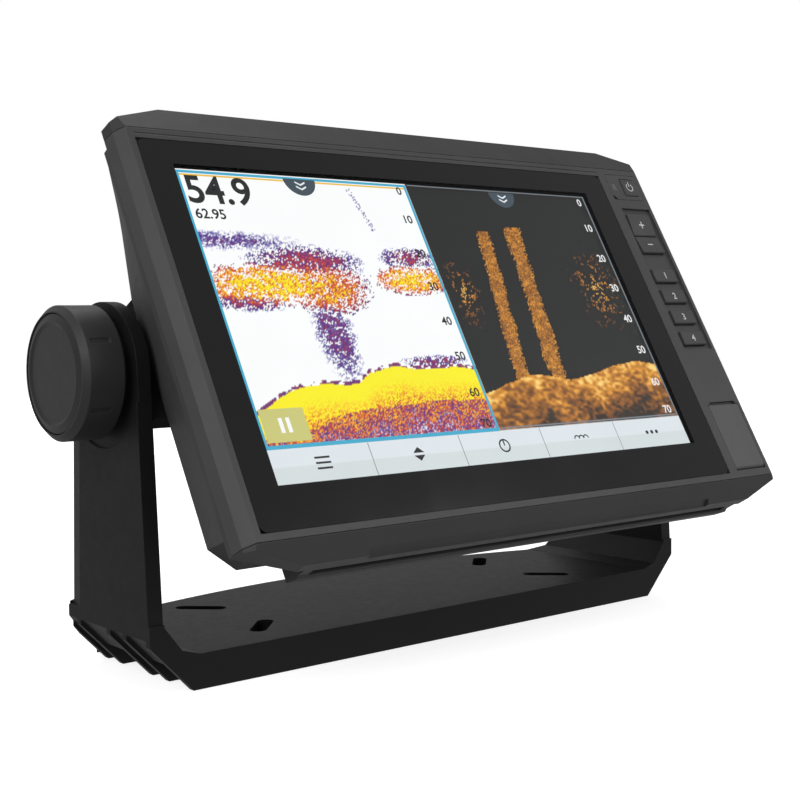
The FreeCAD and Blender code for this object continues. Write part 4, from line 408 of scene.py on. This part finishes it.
def heat(strength):
    # White through violet, red and orange to yellow, by the strength of the echo.
    stops = [0.0, 0.18, 0.30, 0.45, 0.62, 0.80, 1.0]
    tones = np.array([linear(*tone) for tone in (
        (255, 255, 255), (228, 222, 246), (62, 44, 150), (128, 24, 88), (214, 66, 28), (252, 178, 10),
        (255, 240, 0))])
    return np.stack([np.interp(strength, stops, tones[:, part]) for part in range(3)], axis=-1)


def amber(strength):
    # Black through brown to bright amber.
    stops = [0.0, 0.25, 0.55, 0.8, 1.0]
    tones = np.array([linear(*tone) for tone in (
        (2, 1, 0), (48, 26, 4), (150, 88, 14), (226, 150, 40), (255, 214, 120))])
    return np.stack([np.interp(strength, stops, tones[:, part]) for part in range(3)], axis=-1)


def paintEcho(across, down, shape):
    # Echo strength is school shape times streaky noise; the bed is a band that fades with depth.
    rng = np.random.default_rng(echo["seed"])
    streaks = clouds(rng, shape[0] // 2, shape[1] // 3, shape)
    grain = clouds(rng, shape[0], shape[1], shape)
    broad = clouds(rng, 18, 26, shape)
    ripple = clouds(rng, 3, 40, shape)
    strength = np.zeros(shape)
    for middleX, middleY, reachX, reachY, power in echo["schools"]:
        away = ((across - middleX) / reachX) ** 2 + ((down - middleY) / reachY) ** 2
        core = np.clip(1.1 - away, 0, 1)
        lump = power * (0.26 + 0.52 * core) * (0.35 + 0.50 * streaks + 0.65 * grain)
        gaps = 0.5 * streaks + 0.5 * grain > 0.70 - 0.42 * core
        strength = np.maximum(strength, np.where(gaps & (core > 0), lump, 0))
    bed = np.interp(across, *zip(*echo["leftBed"])) + (ripple - 0.5) * 0.008
    deep = np.interp(across, *zip(*echo["leftDeep"]))
    below = down - bed
    solid = 1.0 - np.clip(below - 0.05, 0, 1) * 2.5 + (grain - 0.5) * 0.6 * np.clip(below * 14 - 0.5, 0, 1)
    fading = 0.62 - 2.2 * (down - deep) + (grain - 0.5) * 0.55 + (broad - 0.5) * 0.2
    hard = np.where(down > deep, fading, solid)
    strength = np.where(below > 0, np.clip(hard, 0.12, 1), strength)
    fringe = (below > -0.012) & (below <= 0) & (streaks > 0.4)
    strength = np.where(fringe, 0.32 + 0.2 * grain, strength)
    drift = 0.352 + 0.030 * down / 0.17
    speck = (np.abs(across - drift) < 0.005) & (down > 0.03) & (down < 0.19) & (grain > 0.6)
    strength = np.where(speck, 0.28, strength)
    left = heat(np.clip(strength, 0, 1))
    bed = np.interp(across, *zip(*echo["rightBed"])) + (ripple - 0.5) * 0.01
    below = down - bed
    scatter = np.exp(-((across - 0.55) / 0.03) ** 2 - ((down - 0.41) / 0.09) ** 2)
    scatter += np.exp(-((across - 0.92) / 0.05) ** 2 - ((down - 0.39) / 0.12) ** 2)
    shine = np.where(grain * streaks > 0.62 - 0.22 * np.clip(scatter, 0, 1), 0.30 + 0.6 * scatter, 0)
    shine = np.where(scatter > 0.12, shine, 0)
    for head, foot, top, bottom, half in echo["posts"]:
        middle = head + (foot - head) * (down - top) / (bottom - top)
        edge = half * (0.9 + 0.4 * (broad - 0.5) + 0.5 * (grain - 0.5))
        post = (np.abs(across - middle) < edge) & (down > top) & (down < bottom)
        shine = np.where(post, 0.42 + 0.35 * grain + 0.3 * (streaks - 0.5), shine)
    ground = 0.85 - 3.0 * np.clip(below, 0, 1) + (streaks - 0.5) * 0.55 + (broad - 0.5) * 0.4
    shine = np.where(below > 0, np.clip(ground, 0.08, 1), shine)
    right = amber(np.clip(shine, 0, 1))
    colour = np.where((across < echo["divider"])[..., None], left, right)
    upper, lower = linear(225, 230, 235), linear(214, 221, 222)
    colour = np.where((down > echo["barTop"])[..., None], upper, colour)
    return np.where((down > echo["barStep"])[..., None], lower, colour)


def screenPoint(across, down, layer):
    # A place on the screen, given as fractions, on one of the thin layers before the panel.
    x = screenX + (np.asarray(across, float) - 0.5) * display["wide"]
    z = screenZ + (0.5 - np.asarray(down, float)) * display["tall"]
    y = np.full_like(x, panelFront - display["lift"] - layer * display["layer"])
    return np.stack([x, y, z], axis=-1)


def buildEcho():
    columns, rows = echo["columns"], echo["rows"]
    across, down = np.meshgrid(np.linspace(0, 1, columns + 1), np.linspace(0, 1, rows + 1))
    front = screenPoint(across, down, 0).reshape(-1, 3)
    index = np.arange((rows + 1) * (columns + 1)).reshape(rows + 1, columns + 1)
    lower, upper = index[1:], index[:-1]
    grid = np.stack([lower[:, :-1], lower[:, 1:], upper[:, 1:], upper[:, :-1]], axis=-1).reshape(-1, 4)
    rim = np.concatenate([index[0, :-1], index[:-1, -1], index[-1, :0:-1], index[:0:-1, 0]])
    back = front[rim] + (0, echo["thick"], 0)
    hind = len(front) + np.arange(len(rim))
    sides = np.stack([rim, np.roll(rim, -1), np.roll(hind, -1), hind], axis=-1)
    faces = grid.tolist() + sides.tolist() + [hind.tolist()]
    points = toFrame(np.concatenate([front, back]))
    piece = addPiece("echoPicture", points, faces, "head_unit", paintedGlow("echoLight"))
    paint = piece.data.color_attributes.new("paint", "FLOAT_COLOR", "POINT")
    colour = np.ones((len(points), 4))
    colour[:len(front), :3] = paintEcho(across, down, across.shape).reshape(-1, 3)
    colour[len(front):] = colour[rim]
    paint.data.foreach_set("color", colour.ravel())


buildEcho()
print("echo picture made")


def slabFaces(start, count):
    # Faces of a closed slab whose points are a ring in front and then the same ring behind.
    front = np.arange(start, start + count)
    back = front + count
    sides = np.stack([front, np.roll(front, -1), np.roll(back, -1), back], axis=-1)
    return [front[::-1].tolist(), back.tolist()] + sides.tolist()


class Drawing:
    # Flat closed slabs collected into one piece: outlines in screen fractions.

    def __init__(self, layer):
        self.layer = layer
        self.points, self.faces = [], []

    def outline(self, across, down):
        # A slab from one outline, given clockwise as seen from the front.
        count, start = len(across), len(self.points)
        for layer in (self.layer + display["print"], self.layer):
            self.points.extend(toFrame(screenPoint(across, down, layer)))
        self.faces.extend(slabFaces(start, count))

    def bar(self, left, top, right, bottom):
        self.outline([left, right, right, left], [top, top, bottom, bottom])

    def ring(self, middleX, middleY, radius, inner, start=0.0, end=360.0, parts=32):
        # Part of a ring; radii are in millimetres, angles in degrees clockwise from the top.
        angles = np.radians(np.linspace(start, end, parts + 1))
        for before, after in zip(angles[:-1], angles[1:]):
            turn = np.array((before, after, after, before))
            reach = np.array((radius, radius, inner, inner))
            self.outline(middleX + reach * np.sin(turn) / display["wide"],
                         middleY - reach * np.cos(turn) / display["tall"])

    def text(self, words, left, top, height, right=None):
        # Numbers; the height is a share of the screen, and right fixes the width or the right end.
        flat, faces = lettering(words)
        tall = height * display["tall"]
        flat = flat * (tall, tall, 1)
        across = left + flat[:, 0] / display["wide"]
        if right is not None:
            across = right - (flat[:, 0].max() - flat[:, 0]) / display["wide"]
        down = top + height - flat[:, 1] / display["tall"]
        near = flat[:, 2] > 0
        start = len(self.points)
        places = np.where(near[:, None], screenPoint(across, down, self.layer + display["print"]),
                          screenPoint(across, down, self.layer))
        self.points.extend(toFrame(places))
        self.faces.extend([[start + corner for corner in face] for face in faces])

    def finish(self, name, colour):
        light = glow(name + "Light", linear(*colour))
        addPiece(name, self.points, self.faces, "head_unit", light)


def lettering(words, weight=0.018):
    # Numbers as a closed mesh one unit tall, from the built-in typeface, made heavier by the weight.
    curve = bpy.data.curves.new("words", "FONT")
    curve.body = words
    curve.extrude = 0.1
    curve.offset = weight
    curve.resolution_u = 6
    obj = bpy.data.objects.new("words", curve)
    bpy.context.scene.collection.objects.link(obj)
    mesh = bpy.data.meshes.new_from_object(obj.evaluated_get(bpy.context.evaluated_depsgraph_get()))
    points = np.empty(len(mesh.vertices) * 3)
    mesh.vertices.foreach_get("co", points)
    points = points.reshape(-1, 3)
    faces = [list(face.vertices) for face in mesh.polygons]
    bpy.data.objects.remove(obj)
    bpy.data.curves.remove(curve)
    bpy.data.meshes.remove(mesh)
    low, high = points.min(axis=0), points.max(axis=0)
    points[:, :2] = (points[:, :2] - low[:2]) / (high[1] - low[1])
    return points, faces


# What is drawn on the screen: places in fractions across and down, bars as left, top, right and bottom.
paneFrame = {
    "colour": (60, 170, 205), "layer": 1,
    "bars": [(0.0, 0.004, 0.503, 0.013), (0.0, 0.013, 0.0055, 0.886), (0.4975, 0.013, 0.503, 0.886),
             (0.0, 0.886, 0.503, 0.898)],
}
surfaceLine = {"colour": (240, 190, 60), "layer": 1, "bars": [(0.0055, 0.016, 0.4975, 0.022)]}
barLines = {
    "colour": (120, 126, 132), "layer": 1,
    "bars": [(place - 0.0007, 0.900, place + 0.0007, 1.0) for place in (0.20, 0.40, 0.60, 0.80)]
    + [(0.508, 0.002, 1.0, 0.006), (0.996, 0.006, 1.0, 0.887), (0.508, 0.887, 1.0, 0.892)],
}
pauseKey = {"colour": (205, 200, 120), "layer": 2, "bars": [(0.008, 0.778, 0.094, 0.878)]}
pauseBars = {
    "colour": (250, 250, 250), "layer": 3,
    "bars": [(0.040, 0.806, 0.0475, 0.851), (0.0545, 0.806, 0.062, 0.851)],
}
readings = {
    "colour": (8, 8, 10), "layer": 2,
    "numbers": [("54.9", 0.010, 0.020, 0.098), ("62.95", 0.013, 0.134, 0.035)],   # left, top, height
    "iconLine": 0.947,              # middle of the soft buttons
    "listBar": (0.015, 0.003), "listStep": 0.016,                                 # half sizes
}
scale = {
    "places": (0.029, 0.138, 0.265, 0.387, 0.512, 0.636, 0.762, 0.868), "step": 10,
    "tall": 0.030,                  # height of a number
    "leftEnd": 0.488, "rightEnd": 0.986,
    "colour": (235, 235, 235), "layer": 2,                                        # of the right pane's
}
pullTab = {
    "middles": (0.253, 0.754), "top": 0.010, "radius": 6.9,                       # mm
    "colour": (58, 72, 84), "layer": 2,
    "arrows": (0.026, 0.042), "half": 0.011, "drop": 0.010, "stroke": 0.006,
    "arrowColour": (235, 240, 244), "arrowLayer": 3,
}
solid = 0.01                        # mm, inner radius of a ring that is a full disc


def drawBars(name, settings):
    pen = Drawing(settings["layer"])
    for bar in settings["bars"]:
        pen.bar(*bar)
    pen.finish(name, settings["colour"])


def drawScale(pen, end):
    # The numbers down one side, each with its right end at the given place.
    for count, height in enumerate(scale["places"]):
        pen.text(str(count * scale["step"]), 0, height - scale["tall"] / 2, scale["tall"], right=end)


def drawPullTabs():
    # A half disc hanging from the top of each pane, with two arrow heads on it.
    tabs = Drawing(pullTab["layer"])
    for middle in pullTab["middles"]:
        tabs.ring(middle, pullTab["top"], pullTab["radius"], solid, 90, 270)
    tabs.finish("pullTabs", pullTab["colour"])
    arrows = Drawing(pullTab["arrowLayer"])
    half, drop, stroke = pullTab["half"], pullTab["drop"], pullTab["stroke"]
    for middle in pullTab["middles"]:
        for height in pullTab["arrows"]:
            top = height - (drop + stroke) / 2
            arrows.outline([middle - half, middle, middle + half, middle + half, middle, middle - half],
                           [top, top + drop, top, top + stroke, top + drop + stroke, top + stroke])
    arrows.finish("pullArrows", pullTab["arrowColour"])


def drawScreen():
    drawBars("paneFrame", paneFrame)
    drawBars("surfaceLine", surfaceLine)
    drawBars("barLines", barLines)
    dark = Drawing(readings["layer"])
    for words, left, top, tall in readings["numbers"]:
        dark.text(words, left, top, tall)
    drawScale(dark, scale["leftEnd"])
    drawIcons(dark)
    dark.finish("readings", readings["colour"])
    pale = Drawing(scale["layer"])
    drawScale(pale, scale["rightEnd"])
    pale.finish("sideScale", scale["colour"])
    drawPullTabs()
    drawBars("pauseKey", pauseKey)
    drawBars("pauseBars", pauseBars)


def drawIcons(pen):
    # Plain symbols on the five soft buttons: list, arrows, dial, waves, dots.
    line = readings["iconLine"]
    half, thin = readings["listBar"]
    for step in (-1, 0, 1):
        height = line + step * readings["listStep"]
        pen.bar(0.1 - half, height - thin, 0.1 + half, height + thin)
    pen.outline([0.3, 0.312, 0.288], [0.926, 0.944, 0.944])
    pen.outline([0.312, 0.3, 0.288], [0.952, 0.970, 0.952])
    pen.ring(0.5, line, 2.6, 2.0)
    pen.bar(0.4985, 0.929, 0.5015, 0.947)
    for step in (-1, 0, 1):
        pen.ring(0.7 + step * 0.012, line, 1.5, 1.0, -90, 90, 10)
        pen.ring(0.9 + step * 0.014, line, 0.8, solid, parts=16)


drawScreen()
print("screen drawn")

# Marks printed on the keys: height of a mark in mm, and how proud the print stands.
marks = {"numeral": 3.0, "sign": 3.2, "power": 2.1, "thick": 0.02, "clear": 0.015}
inkFinish = plastic("ink", tone=0.62, rough=0.5, grain=3000, bump=0.03, blotch=200, shine=0.4)


def keyMark(name, body, flat, faces, middle, front, slope):
    # Puts a flat mark on a key's front, following its slope; flat is in millimetres.
    x = middle[0] + flat[:, 0]
    z = middle[1] + flat[:, 1]
    y = front + slope * flat[:, 1] - marks["clear"] - np.where(flat[:, 2] > 0, marks["thick"], 0)
    addPiece(name, toFrame(np.stack([x, y, z], axis=-1)), faces, body, inkFinish)


def slabs(outlines):
    # Closed slabs from outlines in millimetres, clockwise as seen from the front.
    points, faces = [], []
    for outline in outlines:
        count, start = len(outline), len(points)
        for depth in (1.0, -1.0):
            points.extend([(x, z, depth) for x, z in outline])
        faces.extend(slabFaces(start, count))
    return np.array(points, float), faces


def arcOutlines(radius, inner, start, end, parts):
    angles = np.radians(np.linspace(start, end, parts + 1))
    return [[(radius * math.sin(a), radius * math.cos(a)), (radius * math.sin(b), radius * math.cos(b)),
             (inner * math.sin(b), inner * math.cos(b)), (inner * math.sin(a), inner * math.cos(a))]
            for a, b in zip(angles[:-1], angles[1:])]


def rectangle(left, top, right, bottom):
    return [(left, top), (right, top), (right, bottom), (left, bottom)]


def frontOf(name):
    # Middle of a key across and up, its front at that height and its slope.
    local = localPoints(name)
    low, high = corners(local)
    middle = ((low[0] + high[0]) / 2, (low[2] + high[2]) / 2)
    upper = local[local[:, 2] > middle[1]]
    lower = local[local[:, 2] < middle[1]]
    topPoint, bottomPoint = upper[np.argmin(upper[:, 1])], lower[np.argmin(lower[:, 1])]
    slope = (topPoint[1] - bottomPoint[1]) / (topPoint[2] - bottomPoint[2])
    front = bottomPoint[1] + slope * (middle[1] - bottomPoint[2])
    return middle, front, slope


def markKeys():
    for number in range(1, 5):
        flat, faces = lettering(str(number))
        flat[:, :2] *= marks["numeral"]
        flat[:, :2] -= (flat[:, :2].min(axis=0) + flat[:, :2].max(axis=0)) / 2
        keyMark(f"numeral_{number}", f"key_{number}", flat, faces, *frontOf(f"key_{number}"))
    half, thin = marks["sign"] / 2, 0.3
    cross = [rectangle(-half, thin, half, -thin), rectangle(-thin, half, thin, thin + 0.001),
             rectangle(-thin, -thin - 0.001, thin, -half)]
    keyMark("plusMark", "plus_key", *slabs(cross), *frontOf("plus_key"))
    dash = [rectangle(-half, thin, half, -thin)]
    keyMark("minusMark", "minus_key", *slabs(dash), *frontOf("minus_key"))
    power = arcOutlines(marks["power"], marks["power"] - 0.5, 40, 320, 28)
    power.append(rectangle(-0.25, marks["power"] + 0.5, 0.25, 0.3))
    keyMark("powerMark", "power_key", *slabs(power), *frontOf("power_key"))


markKeys()
print("key marks made")

camera = {
    "place": (-0.3479, -0.4309, 0.1216),
    "azimuth": 39.73, "pitch": -3.36, "roll": -0.66,     # degrees
    "lens": 62.03,                                       # mm on a 36 mm sensor
}


def addCamera():
    azimuth, pitch, roll = (math.radians(camera[key]) for key in ("azimuth", "pitch", "roll"))
    flat = math.cos(pitch)
    ahead = Vector((math.sin(azimuth) * flat, math.cos(azimuth) * flat, math.sin(pitch)))
    level = Vector((math.cos(azimuth), -math.sin(azimuth), 0.0))
    top = level.cross(ahead)
    right = level * math.cos(roll) + top * math.sin(roll)
    top = right.cross(ahead)
    data = bpy.data.cameras.new("camera")
    data.sensor_width = 36.0
    data.lens = camera["lens"]
    data.clip_start = 0.01
    lookout = bpy.data.objects.new("camera", data)
    turn = Matrix((right, top, -ahead)).transposed().to_4x4()
    lookout.matrix_world = Matrix.Translation(camera["place"]) @ turn
    bpy.context.scene.collection.objects.link(lookout)
    bpy.context.scene.camera = lookout


# The studio: a dim room, a white surround that only the camera sees, and soft boxes.
studio = {
    "room": 0.42, "surround": 1.0, "floorGlow": 0.80, "floorTone": 0.5,
    "floorHalf": 30, "floorDrop": 0.0002,           # metres, as are the surround's sizes
    "wallRadius": 28, "wallLow": -15, "wallHigh": 25, "wallStep": 10,   # the last in degrees
    "softBoxes": [
        {"name": "leftBox", "place": (-1.35, -0.65, 1.0), "size": 0.9, "power": 12.0, "gloss": True},
        {"name": "rightBox", "place": (0.9, -1.3, 0.7), "size": 0.7, "power": 6.0, "gloss": True},
        {"name": "topBox", "place": (0.1, 0.5, 1.4), "size": 1.2, "power": 8.0, "gloss": True},
        {"name": "backBox", "place": (0.7, 1.5, 0.6), "size": 1.0, "power": 14.0, "gloss": False},
    ],
}


def addStudio():
    world = bpy.data.worlds.new("studio")
    bpy.context.scene.world = world
    world.use_nodes = True
    world.node_tree.nodes["Background"].inputs["Color"].default_value = (1, 1, 1, 1)
    world.node_tree.nodes["Background"].inputs["Strength"].default_value = studio["room"]
    bpy.context.scene.view_settings.view_transform = "Standard"
    for box in studio["softBoxes"]:
        data = bpy.data.lights.new(box["name"], "AREA")
        data.size, data.energy = box["size"], box["power"]
        lamp = bpy.data.objects.new(box["name"], data)
        aim = Vector((0, 0, 0.1)) - Vector(box["place"])
        lamp.rotation_euler = aim.to_track_quat("-Z", "Y").to_euler()
        lamp.location = box["place"]
        lamp.visible_glossy = box["gloss"]      # the back light leaves no sheen on the base
        bpy.context.scene.collection.objects.link(lamp)
    addFloor()
    addSurround()


def addStage(name, points, faces, finish):
    # A piece of the studio that only the camera sees.
    mesh = bpy.data.meshes.new(name)
    mesh.from_pydata(points.tolist(), [], faces)
    mesh.materials.append(finish)
    obj = bpy.data.objects.new(name, mesh)
    bpy.context.scene.collection.objects.link(obj)
    obj.visible_diffuse = obj.visible_glossy = obj.visible_transmission = obj.visible_shadow = False


def addFloor():
    finish, tree, out = emptyMaterial("floorPaint")
    speckle = addNode(tree, "ShaderNodeTexNoise", [("Scale", 30.0)])
    skin = addNode(tree, "ShaderNodeBsdfPrincipled", [
        ("Base Color", (studio["floorTone"],) * 3 + (1,)), ("Specular IOR Level", 0.0),
        ("Emission Color", (1, 1, 1, 1)), ("Emission Strength", studio["floorGlow"])])
    join(tree, spread(tree, speckle.outputs["Fac"], 0.85, 0.95), skin.inputs["Roughness"])
    join(tree, skin.outputs["BSDF"], out.inputs["Surface"])
    half = studio["floorHalf"]
    points = np.array([(-half, -half, 0), (half, -half, 0), (half, half, 0), (-half, half, 0)], float)
    points[:, 2] = -studio["floorDrop"]
    addStage("floor", points, [(0, 1, 2, 3)], finish)


def addSurround():
    # A wide upright cylinder round the object, closed at the top.
    finish, tree, out = emptyMaterial("surroundPaint")
    light = addNode(tree, "ShaderNodeEmission", [("Strength", studio["surround"])])
    join(tree, light.outputs["Emission"], out.inputs["Surface"])
    angles = np.radians(np.arange(0, 360, studio["wallStep"]))
    rim = np.stack([np.cos(angles), np.sin(angles), np.zeros_like(angles)], axis=-1) * studio["wallRadius"]
    points = np.concatenate([rim + (0, 0, studio["wallLow"]), rim + (0, 0, studio["wallHigh"])])
    foot = np.arange(len(rim))
    head = foot + len(rim)
    sides = np.stack([foot, head, np.roll(head, -1), np.roll(foot, -1)], axis=-1)
    addStage("surround", points, sides.tolist() + [head.tolist()], finish)


addCamera()
addStudio()
print("camera and studio ready")
